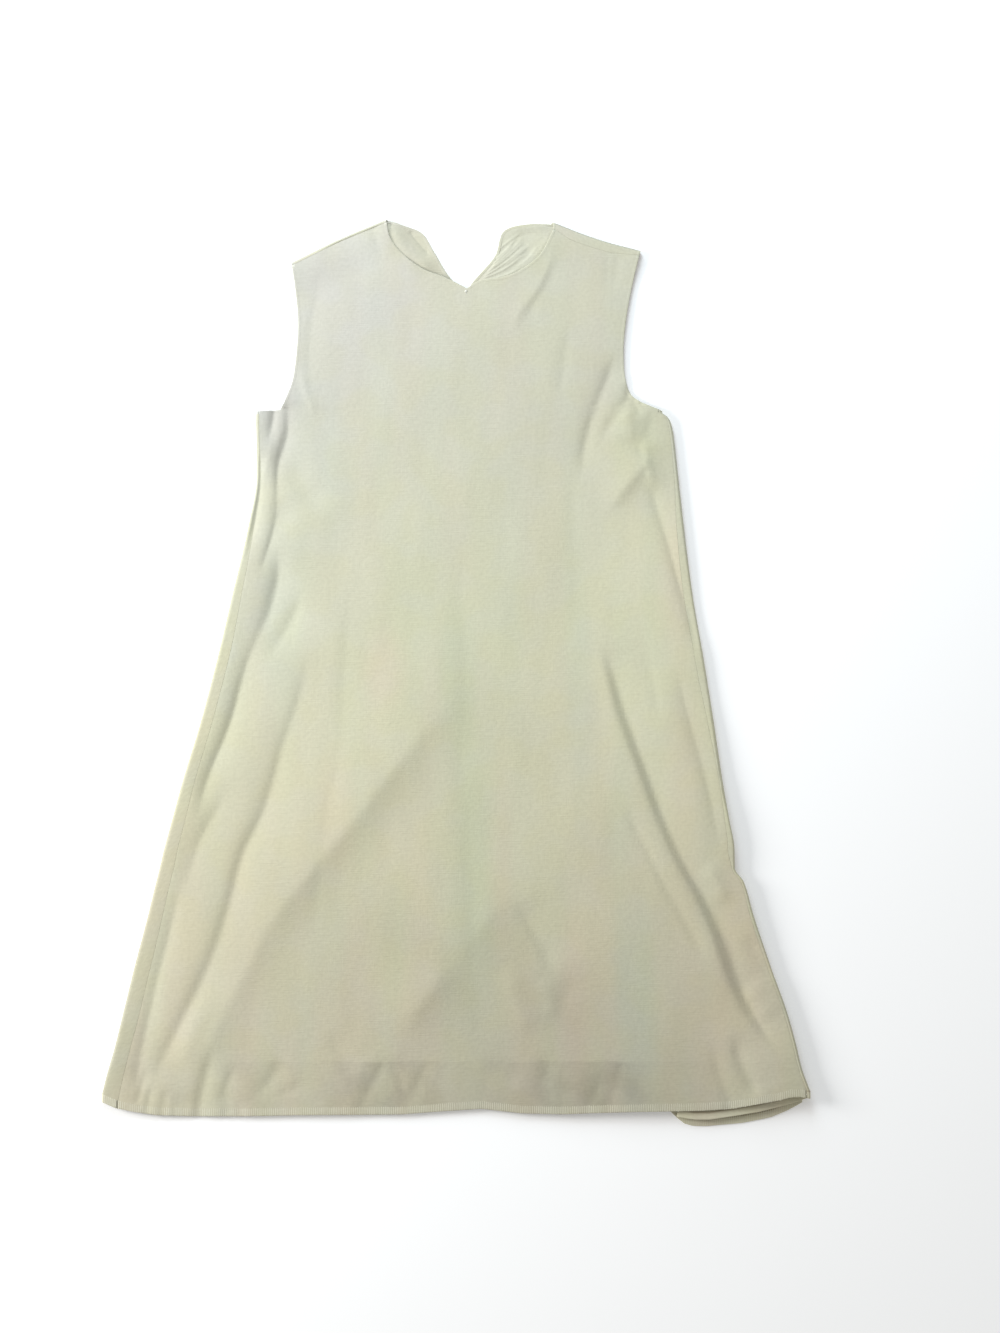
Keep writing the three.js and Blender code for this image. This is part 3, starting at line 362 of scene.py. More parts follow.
FRONT_CREASES = (
    # its line from upper to lower end, height, reach to the left and right, fades, power, crest
    # Below the left armhole, where the cloth has slipped towards the side.
    (((-196, 747), (-198, 730), (-203, 702)), -1.9, 3, 8, (0.05, 0.6)),
    (((-182, 756), (-182, 725), (-184, 710), (-188, 697), (-192, 680), (-192, 658), (-192, 632),
      (-194, 616), (-198, 598), (-204, 578), (-210, 555)),
     (-0.6, -1.7, -2.5, -2.8, -2.3, -1.3, -0.9, -1.5, -1.6, -0.8, 0), 3.5, 16, (0.05, 0.1), 1, 1),
    (((-193, 650), (-186, 632), (-182, 605)), -0.9, 12, 16, (0.5, 0.5), 1.4),
    (((-196, 712), (-200, 696), (-205, 672), (-208, 648)), 0.3, 4, 2, (0.3, 0.4)),
    (((-211, 702), (-210.5, 676), (-210.5, 655), (-214, 628), (-218.5, 600), (-223, 570)),
     -1.8, 3, 6, (0.15, 0.4)),
    (((-184, 698), (-172, 668), (-152, 645), (-132, 628)), -1.6, 12, 16, (0.4, 0.4), 1.6),
    (((-170, 790), (-165, 770), (-158, 750), (-151, 730)), 0.6, 2.2, 10, (0.3, 0.3), 1, 1),
    # Down the left side.
    (((-190, 596), (-190, 560), (-194, 540), (-199, 520), (-206, 503), (-214, 484), (-221, 465),
      (-228, 440), (-234, 415), (-242, 390), (-252, 365), (-262, 337), (-267, 315), (-272, 290)),
     (0, -2.8, -2.6, -1.5, -2, -2.9, -2.9, -2.6, -1.9, -0.7), 7, 20, (0.03, 0.15)),
    (((-161, 550), (-169, 524), (-180, 503), (-192, 482), (-202, 462)), -1.5, 11, 14, (0.4, 0.4)),
    (((-232, 350), (-246, 318), (-257, 298), (-267, 278), (-274, 255), (-280, 230), (-284, 205)),
     -1.8, 12, 20, (0.4, 0.5)),
    (((-275, 268), (-288, 222), (-297, 180), (-307, 140), (-315, 100), (-323, 60), (-330, 15)),
     -1.5, 9, 12, (0.4, 0.1)),
    (((-152, 485), (-166, 425), (-180, 385), (-189, 350), (-196, 325), (-205, 300), (-219, 272),
      (-226, 250), (-232, 225), (-239, 198), (-247, 172), (-256, 148), (-267, 122), (-279, 98),
      (-291, 73), (-302, 50), (-314, 20)),
     (0, -0.9, -1.3, -1.8, -2.1, -2.4, -2.3, -2.1, -2.1, -2.1, -1.8, -1), 6.5, 20, (0.05, 0.1)),
    (((-252, 130), (-268, 90), (-286, 40)), 1.1, 14, 12, (0.5, 0.3), 1.6),
    # The long diagonal across the skirt, and the shorter ones below it.
    (((18, 452), (0, 432), (-22, 408), (-43, 382), (-64, 355), (-84, 330), (-104, 303), (-121, 282),
      (-140, 260), (-160, 235), (-182, 208), (-200, 180), (-214, 150), (-230, 120), (-246, 88),
      (-258, 58), (-270, 20)), (2.2, 3, 3.5, 3.8, 3.4, 3, 3, 2.6), 60, 24, (0.25, 0.1), 1.25),
    (((56, 232), (42, 208), (24, 184), (8, 160), (-4, 140)), 1.2, 30, 18, (0.4, 0.5), 1.3),
    (((4, 160), (-14, 138), (-30, 118), (-45, 96), (-58, 68)), 2, 34, 15, (0.4, 0.4), 1.3),
    (((62, 218), (72, 201), (84, 180), (94, 162), (104, 138)), -1.3, 5, 22),
    (((52, 150), (60, 128), (68, 104), (78, 74)), 0.9, 10, 18, (0.3, 0.3), 1.3),
    (((90, 138), (98, 116), (102, 92)), 0.8, 6, 14, (0.3, 0.3), 1.2),
    (((124, 140), (116, 118), (108, 96)), -0.7, 12, 10, (0.3, 0.3), 1.4),
    # Lines left by pressing and storing.
    (((-110, 590), (-116, 491), (-123, 363), (-133, 321), (-140, 255), (-146, 196), (-150, 150)),
     -0.4, 7, 20, (0.2, 0.2)),
    (((6, 620), (10, 450), (8, 363), (14, 321), (18, 262), (20, 190), (20, 134), (24, 60)),
     -0.7, 14, 34, (0.3, 0.2), 1.25),
    (((120, 700), (126, 620), (128, 540), (124, 470)), -0.4, 10, 26, (0.3, 0.3), 1.25),
    # The right side.
    (((156, 492), (166, 455), (176, 418), (188, 383), (200, 348), (211, 315), (224, 282), (238, 252),
      (255, 222), (270, 192), (281, 165), (289, 140), (300, 112), (316, 86), (332, 64), (344, 50)),
     (0, -1.5, -2.3, -2.6, -2.6, -2.6, -2.9, -3.3, -3.7, -3.8, -3.4, -2.4), 3.6, 26, (0.05, 0.15), 1, 1.2),
    (((150, 482), (162, 440), (171, 405), (194, 345), (219, 282), (236, 246), (254, 212), (268, 175),
      (280, 135), (300, 95)), 0.9, 24, 3.6, (0.1, 0.2), 1.2, 1.2),
    (((262, 256), (272, 236), (285, 212)), 1.1, 10, 7, (0.3, 0.3), 1.3),
    (((302, 132), (314, 112), (330, 92)), 1, 12, 12, (0.3, 0.3), 1.5),
    (((176, 322), (185, 298), (199, 270), (216, 236), (234, 204), (250, 174), (262, 150)),
     -0.8, 2.2, 5, (0.2, 0.2)),
    (((202, 478), (210, 440), (216, 400)), -0.6, 6, 8),
    (((232, 470), (240, 435), (247, 405), (255, 375), (263, 345), (269, 315), (275, 285), (279, 258)),
     -1.5, 8, 18, (0.25, 0.3)),
    (((300, 182), (315, 157), (332, 131)), -0.8, 8, 12),
    (((206, 672), (212, 645), (219, 620), (228, 590), (236, 558), (244, 530), (251, 500), (256, 466)),
     -1.3, 5, 12, (0.15, 0.2)),
    # Below the right armhole.
    (((174, 808), (164, 780), (155, 757), (147, 735), (140, 712), (136, 690), (134, 660)),
     -1.7, 5, 18, (0.2, 0.3)),
    (((191, 775), (187, 759), (179, 746), (169, 731), (160, 715), (153, 696)), -1.3, 5, 10, (0.15, 0.4)),
    (((207, 690), (197, 675), (185, 660), (172, 644), (154, 622)), 1.7, 22, 6, (0.1, 0.5), 1.1),
    (((201, 706), (205, 690), (208, 670), (212, 648)), 1, 3, 9, (0.1, 0.4)),
    (((184, 748), (186, 722), (190, 704)), 0.9, 22, 5, (0.3, 0.3), 1.2),
    (((186, 772), (185, 760), (182, 748)), -0.6, 2, 3, (0.1, 0.5), 1, 1),
    (((190, 756), (194, 744), (199, 734)), -0.9, 3, 3, (0.1, 0.5), 1, 1),
    (((199, 752), (198, 743), (195, 734)), -0.7, 2, 3, (0.1, 0.5), 1, 1),
    (((214, 742), (208, 722), (204, 706)), -0.8, 6, 12, (0.3, 0.3), 1.3),
    # Around the neck and shoulders.
    (((107, 936), (100, 904), (88, 878), (71, 854), (54, 819)), 0.7, 9, 5),
    (((110, 915), (98, 883), (82, 858), (64, 830)), -0.4, 4, 7),
    (((124, 838), (117, 799), (111, 752)), -0.5, 6, 10),
    (((-147, 918), (-151, 875), (-158, 836), (-160, 797), (-157, 763), (-149, 724)), -0.35, 4, 8),
    (((-92, 947), (-85, 924), (-80, 906)), -0.5, 4, 5, (0, 0.6)),
    (((163, 915), (164, 890), (163, 865)), -0.35, 3, 4, (0.1, 0.6)),
    (((174, 912), (173, 890), (170, 868)), -0.35, 3, 4, (0.1, 0.6)),
    # Puckers above the hem.
    (((-249, 72), (-255, 44), (-262, 12), (-266, -12)), -1.7, 4.5, 10, (0.4, 0)),
    (((-225, 54), (-233, 30), (-243, 2)), -1.2, 4, 8, (0.4, 0.3)),
    (((-174, 62), (-185, 40), (-197, 24), (-214, 10)), -1.3, 7, 16, (0.4, 0.4)),
    (((-148, 30), (-166, 24), (-186, 12)), -0.9, 4, 8, (0.4, 0.4)),
    (((-316, 46), (-322, 26), (-327, 4)), -0.9, 3.5, 5, (0.4, 0.2)),
    (((-296, 26), (-299, 10), (-302, -8)), -1, 3, 5, (0.4, 0)),
    (((-284, 22), (-286, 8), (-289, -8)), -0.9, 3, 5, (0.4, 0)),
    (((-311, 30), (-314, 14), (-317, -4)), -0.9, 3, 4, (0.4, 0.1)),
    (((-276, 18), (-277, 8), (-279, -8)), -0.8, 3, 4, (0.4, 0)),
    (((-231, 24), (-233, 10), (-236, -8)), -0.8, 3, 5, (0.5, 0)),
    (((-219, 16), (-221, 6), (-222, -8)), -0.7, 3, 4, (0.4, 0)),
    (((-132, 84), (-122, 66), (-110, 50), (-94, 38)), -0.9, 5, 14, (0.4, 0.3)),
    (((-68, 60), (-77, 42), (-87, 24), (-94, 4), (-97, -12)), -0.9, 5, 9, (0.3, 0.5)),
    (((-68, 56), (-60, 40), (-51, 20), (-46, 2)), -1.1, 3, 9, (0.3, 0.5)),
    (((-26, 54), (-36, 34), (-44, 16), (-49, 0)), -0.9, 4, 9, (0.3, 0.5)),
    (((26, 52), (42, 41), (58, 34), (78, 30)), -1.1, 6, 14, (0.4, 0.4)),
    (((88, 58), (96, 40), (92, 24)), -0.6, 6, 8, (0.3, 0.3), 1.3),
    (((178, 62), (168, 36), (158, 8), (154, -12)), -1.1, 5, 9, (0.4, 0.4)),
    (((160, 42), (148, 24), (138, 6), (134, -12)), -0.8, 5, 8, (0.4, 0.4)),
    (((287, 84), (293, 56), (302, 34), (312, 14)), -2, 4.5, 13, (0.4, 0.2)),
    (((264, 74), (271, 44), (280, 16), (286, -12)), -0.9, 3.5, 8, (0.4, 0)),
    # Where the front's hem stands a little off the doubled back.
    (((378, 12), (350, 9), (330, 4), (310, 0), (290, -4)), 1.1, 20, 9, (0.2, 0.3), 1.5),
)

# Small waves that no hand smooths out, as (waves per metre across, per metre up, height, phase).
RIPPLES = (
    (17, 3, 0.04, 0.3), (29, -5, 0.02, 1.9), (11, 8, 0.08, 4.0), (38, 4, 0.02, 2.2),
    (23, 13, 0.02, 5.1), (7, -6, 0.16, 0.9), (47, -9, 0.012, 3.3), (5, 12, 0.10, 1.2),
)


def rippled(x, y):
    """The height of those waves."""
    total = np.zeros_like(x)
    for across, up, height, phase in RIPPLES:
        total += height * np.sin(2 * np.pi * MM * (across * x + up * y) + phase)
    return total


def base_height(x, y):
    """The height of the front before its creases, in the middle of the cloth."""
    side = np.minimum(x - flowing(1, y), flowing(3, y) - x)
    on_body = 1 - smooth(UNDERARM, UNDERARM + SPRING_END, y)
    near_side = (1 - smooth(SPRING_TOP, SIDE_SPRING, side)) * on_body
    near_shoulder = 1 - smooth(SPRING_TOP, SHOULDER_SPRING, shoulder_depth(x, y))
    return REST_HEIGHT + (FOLD_HEIGHT - REST_HEIGHT) * np.maximum(near_side, near_shoulder)


def lifted_by_tuck(x, y):
    """How far the doubled back lifts the front, and how far it does so right above its layers."""
    fold = np.interp(y, (0, TUCK_CLOSED), np.subtract(TUCK_EDGE, TUCK_DEPTH))
    rise = 4 * TUCK_RADIUS * (1 - smooth(TUCK_CLOSED + TUCK_RAMP_END, TUCK_CLOSED + TUCK_RAMP, y))
    begin, end = (fold - distance for distance in TUCK_EDGE_RISE)
    return rise * smooth(fold - TUCK_RAMP, end, x), rise * smooth(begin, end, x)


def front_height(x, y):
    """The height of the middle of the front's cloth."""
    x, y = np.broadcast_arrays(np.asarray(x, float), np.asarray(y, float))
    shape = x.shape
    x, y = x.ravel(), y.ravel()
    lift, layers = lifted_by_tuck(x, y)
    above = base_height(x, y) + rippled(x, y) + lift - layers - LOWEST
    for crease in FRONT_CREASES:
        above += creased(x, y, *crease)
    above = np.where(above > 0, above, 0.1 * above)
    return (LOWEST + layers + above).reshape(shape)


def front_left(y):
    """Where the front's left edge lies at each height, at the seam with the back's strip."""
    return flowing(1, y) + flowing(2, y) + SEAM_GAP


def front_right(y):
    """The same for its right edge."""
    return flowing(3, y) - flowing(4, y) - SEAM_GAP


def body_row(y, xs, hem, top_row):
    """One row across the body, which follows the hem below and the armhole shelves above."""
    low = 1 - smooth(0, HEM_FADE, y)
    high = smooth(UNDERARM - SHELF_FADE, UNDERARM, y)
    return y + hem * low + (np.interp(xs, top_row[:, 0], top_row[:, 1]) - UNDERARM) * high


def inset_arm_left(line, distance):
    """The line of the left armhole, moved into the cloth."""
    return moved(line, distance, DOWN, -ALONG_LEFT)


def inset_arm_right(line, distance):
    """The same for the right armhole."""
    return moved(line, -distance, -DOWN, ALONG_RIGHT)


def inset_neck(line, distance):
    """The same for the front neck."""
    return moved(line, distance, ALONG_LEFT, ALONG_RIGHT)


BODY_HEIGHTS = np.linspace(SECTIONS[0, 0], UNDERARM, 176)
YOKE_STEPS = 46
SHELF_PARTS = np.linspace(0, 1, 19) ** 1.15
NECK_STEPS = 34
LEFT_SHOULDER_STEPS = 50
RIGHT_SHOULDER_STEPS = 44

neck_depth_left, arm_depth_left = (strip + SEAM_GAP for _, strip in STRIP_LEFT)
neck_depth_right, arm_depth_right = STRIP_RIGHT[0][1] + SEAM_GAP, STRIP_RIGHT[-1][1] + SEAM_GAP
front_arm_left = armhole_line(
    ARMHOLE_LEFT, front_left(UNDERARM), SHELF_PARTS, YOKE_STEPS, SHOULDER_LEFT, arm_depth_left
)
front_arm_right = armhole_line(
    ARMHOLE_RIGHT, front_right(UNDERARM), SHELF_PARTS, YOKE_STEPS, SHOULDER_RIGHT, arm_depth_right
)
neck_left = trimmed(NECK_FRONT_LEFT, NECK_STEPS, SHOULDER_LEFT, neck_depth_left, at_start=True)
neck_right = trimmed(NECK_FRONT_RIGHT, NECK_STEPS, SHOULDER_RIGHT, neck_depth_right)
front_neck = np.concatenate((neck_left, neck_right[1:]))


def woven_grid(bm, points, cloth):
    """A grid of cloth with its corners at the given rows of points. The cloth's own coordinates go
    to the attribute that its weave follows."""
    rows, columns = points.shape[:2]
    made = bmesh.ops.create_grid(bm, x_segments=columns - 1, y_segments=rows - 1, size=0.5)
    layer = bm.verts.layers.float_vector["cloth"]
    for vert in made["verts"]:
        row = round((vert.co.y + 0.5) * (rows - 1))
        column = round((vert.co.x + 0.5) * (columns - 1))
        vert.co = points[row, column]
        vert[layer] = cloth[row, column]


def cloth_object(name, bm, finish, thickness=CLOTH * MM):
    """A piece of cloth from a finished bmesh, with its wall and material. A narrow ring of faces
    keeps the cloth flat right up to its cut edges."""
    if thickness:
        ring = {"thickness": CUT_RING * MM, "use_boundary": True, "use_even_offset": True}
        bmesh.ops.inset_region(bm, faces=bm.faces, **ring)
    mesh = bpy.data.meshes.new(name)
    bm.to_mesh(mesh)
    bm.free()
    mesh.shade_smooth()
    mesh.materials.append(finish)
    piece = bpy.data.objects.new(name, mesh)
    bpy.context.collection.objects.link(piece)
    if thickness:
        wall = piece.modifiers.new("wall", "SOLIDIFY")
        wall.thickness = thickness
        wall.offset = 0
    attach(piece, "root")
    return piece


def new_cloth_mesh():
    """An empty bmesh with the attribute that a weave follows."""
    bm = bmesh.new()
    bm.verts.layers.float_vector.new("cloth")
    return bm


# The crepe: dull, slightly pebbled, with thicker threads here and there and a soft sheen. Its
# colour is painted darker and warmer towards the hem, as painted shade where the light falls off,
# and darker and cooler again towards the shoulders, and it has long faint stripes. Broad patches of
# it are painted lighter, darker, bluer or yellower, as pools of painted light and shade.
# Painted shade by height: the stops grow darker and warmer towards the hem, where the light falls off, and
# darker and cooler again towards the shoulders.
SAGES_AND_PAINTED_SHADE = (
    # height in metres, colour
    (0.00, (0.560, 0.529, 0.398)),
    (0.07, (0.570, 0.537, 0.403)),
    (0.16, (0.586, 0.554, 0.408)),
    (0.26, (0.615, 0.587, 0.430)),
    (0.42, (0.628, 0.609, 0.446)),
    (0.50, (0.620, 0.612, 0.451)),
    (0.62, (0.604, 0.590, 0.452)),
    (0.74, (0.576, 0.560, 0.445)),
    (0.94, (0.562, 0.542, 0.431)),
)
STREAKS = (
    # place in the cloth and reach across in metres, how many times as far they reach up, tint
    ((0.018, 0.27), 0.034, 6.5, (0.939, 1.0, 0.98)),
    ((0.185, 0.10), 0.032, 5.5, (0.953, 1.0, 1.027)),
    ((0.125, 0.11), 0.032, 3.8, (1.04, 0.98, 1.0)),
    ((0.290, 0.14), 0.050, 3.2, (1.04, 0.986, 0.986)),
    ((-0.125, 0.30), 0.030, 3.5, (1.04, 0.993, 1.0)),
    ((-0.065, 0.18), 0.035, 3.0, (0.973, 1.0, 0.966)),
    ((-0.13, 0.66), 0.035, 3.0, (0.973, 1.0, 1.027)),
    ((0.235, 0.55), 0.035, 3.5, (1.047, 1.0, 1.027)),
    ((0.24, 0.37), 0.030, 3.5, (1.027, 1.0, 1.0)),
    ((0.175, 0.30), 0.025, 3.5, (0.973, 1.0, 1.0)),
    ((0.003, 0.46), 0.028, 4.5, (0.96, 1.0, 0.986)),
    ((0.134, 0.42), 0.022, 7.0, (0.966, 0.98, 1.02)),
    ((-0.075, 0.46), 0.034, 1.8, (1.047, 0.993, 1.007)),
)
# Pools of painted light and shade: patches painted lighter or darker, bluer where the cool light falls,
# and darker and yellower in shade.
PAINTED_LIGHT_AND_SHADE = (
    # place in the cloth and reach in metres, tint
    ((0.30, 0.07), 0.08, (1.07, 1.06, 1.06)),
    ((-0.20, 0.73), 0.12, (0.975, 0.985, 1.06)),
    ((-0.20, 0.735), 0.05, (0.97, 0.975, 1.04)),
    ((-0.062, 0.925), 0.024, (0.97, 0.975, 0.90)),
    ((-0.040, 0.905), 0.020, (0.96, 0.965, 0.90)),
    ((0.11, 0.12), 0.06, (0.95, 0.945, 0.94)),
    ((0.04, 0.15), 0.11, (0.955, 0.96, 0.955)),
    ((-0.05, 0.25), 0.09, (1.04, 1.04, 1.03)),
    ((0.18, 0.24), 0.11, (0.965, 0.965, 0.97)),
    ((0.17, 0.45), 0.09, (1.045, 1.045, 1.045)),
    ((0.03, 0.41), 0.07, (0.955, 0.955, 0.955)),
    ((-0.10, 0.93), 0.06, (1.045, 1.045, 1.05)),
    ((0.075, 0.925), 0.05, (0.93, 0.945, 0.91)),
    ((-0.30, 0.05), 0.26, (1.09, 1.09, 1.09)),
    ((0.12, 0.03), 0.20, (0.93, 0.925, 0.93)),
    ((0.24, 0.57), 0.18, (1.08, 1.08, 1.05)),
    ((-0.13, 0.87), 0.17, (0.99, 0.99, 1.10)),
    ((-0.24, 0.52), 0.17, (0.99, 1.0, 1.08)),
    ((0.20, 0.71), 0.07, (0.97, 0.98, 0.90)),
)
GREENER = (0.952, 1.0, 0.99)
WARMER = (1.0, 0.955, 0.97)
YELLOWER = (1.0, 0.995, 0.955)
PRESSED = (
    # place across in metres from the far left, how strongly the hem was pressed there
    (0.0, 0.08),
    (0.11, 0.10),
    (0.14, 0.32),
    (0.23, 0.32),
    (0.26, 0.80),
    (0.33, 0.65),
    (0.36, 0.30),
    (0.40, 0.30),
    (0.45, 0.75),
    (0.54, 1.0),
    (0.57, 0.15),
    (0.72, 0.08),
)
HEM_TINT = (0.80, 0.79, 0.80)
BAND_TOP = (0.0525, 0.0555)  # heights in metres over which the hem's band ends
FAR_LEFT = 0.36              # how far the left end of the hem lies from the cloth's middle
SLUB_LENGTH = 14             # how many times as long as it is wide a thicker thread is
DARKEST = 0.132              # how dark the gaps between the threads are
WAVE_DEPTH = 0.00014         # depth in metres of the crepe's small waves
SLUB_DEPTH = 0.00018         # of its thicker threads
PEBBLE_DEPTH = 0.00009       # and of its pebbles

# The doubled cloth under the right hem: where its tones begin and end across the cloth, its
# paler tint, which is painted light where the front above keeps the lamps off it, and how far from
# its edge and with what tint it is painted darker, as painted shade in the gap under the front's hem.
TUCK_TONES = (0.15, 0.2)
TUCK_PAINTED_LIGHT = (1.28, 1.28, 1.28)
GAP_SHADE_PART = (-0.9, -0.3)
GAP_SHADE_TINT = (0.6, 0.55, 0.5)

# The back's cloth is one metre above the front's in the weave's coordinates, and this much more on
# its left and shoulder folds, which are painted darker and greyer there, as painted shade on the
# round of each fold.
FOLD_MARK = 0.0005
FOLD_PAINTED_SHADE = (0.66, 0.66, 0.68)


class Thread:
    """A value that runs through a finish. Arithmetic on it adds Math nodes."""

    def __init__(self, finish, socket):
        self.finish = finish
        self.socket = socket

    def worked(self, operation, first, second):
        """What a Math node makes of two threads or numbers."""
        return self.finish.add("ShaderNodeMath", {"operation": operation}, {0: first, 1: second})

    def __add__(self, other):
        return self.worked("ADD", self, other)

    __radd__ = __add__

    def __sub__(self, other):
        return self.worked("SUBTRACT", self, other)

    def __rsub__(self, other):
        return self.worked("SUBTRACT", other, self)

    def __mul__(self, other):
        return self.worked("MULTIPLY", self, other)

    __rmul__ = __mul__


class Finish:
    """A material that is built up node by node."""

    def __init__(self, name, **constants):
        self.material = bpy.data.materials.new(name)
        self.material.use_nodes = True
        self.tree = self.material.node_tree
        self.shader = self.tree.nodes["Principled BSDF"]
        self.wear(**constants)

    def wear(self, **sockets):
        """Values or threads for the sockets of the shader."""
        for socket, value in sockets.items():
            self.feed(self.shader.inputs[socket.replace("_", " ")], value)

    def feed(self, socket, value):
        """A value for a socket, or a thread that runs to it."""
        if isinstance(value, Thread):
            self.tree.links.new(value.socket, socket)
        else:
            socket.default_value = value

    def add(self, kind, settings, values, out=0):
        """A new node: its settings come first, and then the values or threads of its sockets."""
        node = self.tree.nodes.new(kind)
        for setting, value in settings.items():
            if setting == "stops":
                ramp = node.color_ramp.elements
                while len(ramp) < len(value):
                    ramp.new(1)
                for stop, (place, colour) in zip(ramp, value):
                    stop.position = place
                    stop.color = (*colour, 1)
            else:
                setattr(node, setting, value)
        for socket, value in values.items():
            self.feed(node.inputs[socket], value)
        return Thread(self, node.outputs[out])

    def cloth_place(self, stretch=(1, 1, 1)):
        """The place in the cloth, in metres along its threads, stretched in each direction."""
        place = self.add("ShaderNodeAttribute", {"attribute_name": "cloth"}, {}, out="Vector")
        return self.add("ShaderNodeVectorMath", {"operation": "MULTIPLY"}, {0: place, 1: stretch})

    def axis(self, place, number):
        """One coordinate of a place: 0 across, 1 up and 2 through the cloth."""
        return self.add("ShaderNodeSeparateXYZ", {}, {0: place}, out=number)

    def noise(self, place, scale, detail=2.0, roughness=0.5):
        """Soft random blotches between 0 and 1, about as many to a metre as the scale says."""
        values = {"Vector": place, "Scale": scale, "Detail": detail, "Roughness": roughness}
        return self.add("ShaderNodeTexNoise", {}, values)

    def between(self, mask, first, second):
        """One colour where the mask is 0 and another where it is 1."""
        first, second = ((*c, 1) if isinstance(c, tuple) else c for c in (first, second))
        return self.add("ShaderNodeMix", {"data_type": "RGBA"}, {0: mask, 6: first, 7: second}, out=2)

    def tinted(self, colour, mask, tint):
        """A colour multiplied by a tint where the mask is 1."""
        tint = (*tint, 1) if isinstance(tint, tuple) else tint
        settings = {"data_type": "RGBA", "blend_type": "MULTIPLY"}
        return self.add("ShaderNodeMix", settings, {0: mask, 6: colour, 7: tint}, out=2)

    def step(self, value, low, high):
        """A soft step from 0 at low to 1 at high."""
        settings = {"interpolation_type": "SMOOTHSTEP"}
        return self.add("ShaderNodeMapRange", settings, {0: value, 1: low, 2: high, 3: 0.0, 4: 1.0})

    def spot(self, place, centre, core, reach):
        """1 in the core around a centre, and softly down to 0 at its reach."""
        settings = {"operation": "DISTANCE"}
        away = self.add("ShaderNodeVectorMath", settings, {0: place, 1: centre}, out="Value")
        return 1 - self.step(away, core, reach)

    def bump(self, height, depth, below=None):
        """Relief of a depth in metres, on top of the relief below it."""
        values = {"Height": height, "Distance": depth, "Strength": 1.0}
        if below is not None:
            values["Normal"] = below
        return self.add("ShaderNodeBump", {}, values)


def dye_and_painted_light(finish, cloth):
    """The colour of the cloth at each place: its sage tone with painted shade by height, its random
    stripes, patches and streaks, and pools of painted light and shade.
    """
    height = finish.axis(cloth, 1)
    stripes = finish.noise(finish.cloth_place((1, 0.13, 1)), 22, 1.0)
    patches = finish.noise(cloth, 24, 1.0)
    # Painted shade by height, from the ramp of sages.
    tone = finish.add("ShaderNodeValToRGB", {"stops": SAGES_AND_PAINTED_SHADE}, {0: height})
    faded = 0.5 - 0.25 * finish.step(height, 0.08, 0.4)
    tone = finish.tinted(tone, faded, finish.between(finish.step(stripes, 0.35, 0.65), GREENER, WARMER))
    tone = finish.tinted(tone, finish.step(patches, 0.38, 0.62), YELLOWER)
    for (x, y), reach, ratio, tint in STREAKS:
        squeezed = finish.cloth_place((1, 1 / ratio, 0))
        tone = finish.tinted(tone, finish.spot(squeezed, (x, y / ratio, 0), 0.2 * reach, reach), tint)
    # Pools of painted light and shade, patch by patch.
    for (x, y), reach, tint in PAINTED_LIGHT_AND_SHADE:
        tone = finish.tinted(tone, finish.spot(cloth, (x, y, 0), 0.1 * reach, reach), tint)
    return tone


def near_hem(finish, cloth):
    """How strongly each place shows the pressed, single layer of cloth above the hem."""
    height = finish.axis(cloth, 1)
    edge = finish.noise(cloth, 30, 2.0, 0.6)
    band = 1 - finish.step(height + edge * 0.006, *BAND_TOP)
    stops = [(place, (strength,) * 3) for place, strength in PRESSED]
    pressed = finish.add("ShaderNodeValToRGB", {"stops": stops}, {0: finish.axis(cloth, 0) + FAR_LEFT})
    damp = finish.step(finish.noise(finish.cloth_place((1, 0.7, 1)), 38, 2.0), 0.42, 0.62)
    lowest = 1 - finish.step(height + edge * 0.02, 0.02, 0.05)
    return band * (pressed * (0.55 + 0.45 * damp) + 0.1 * lowest)


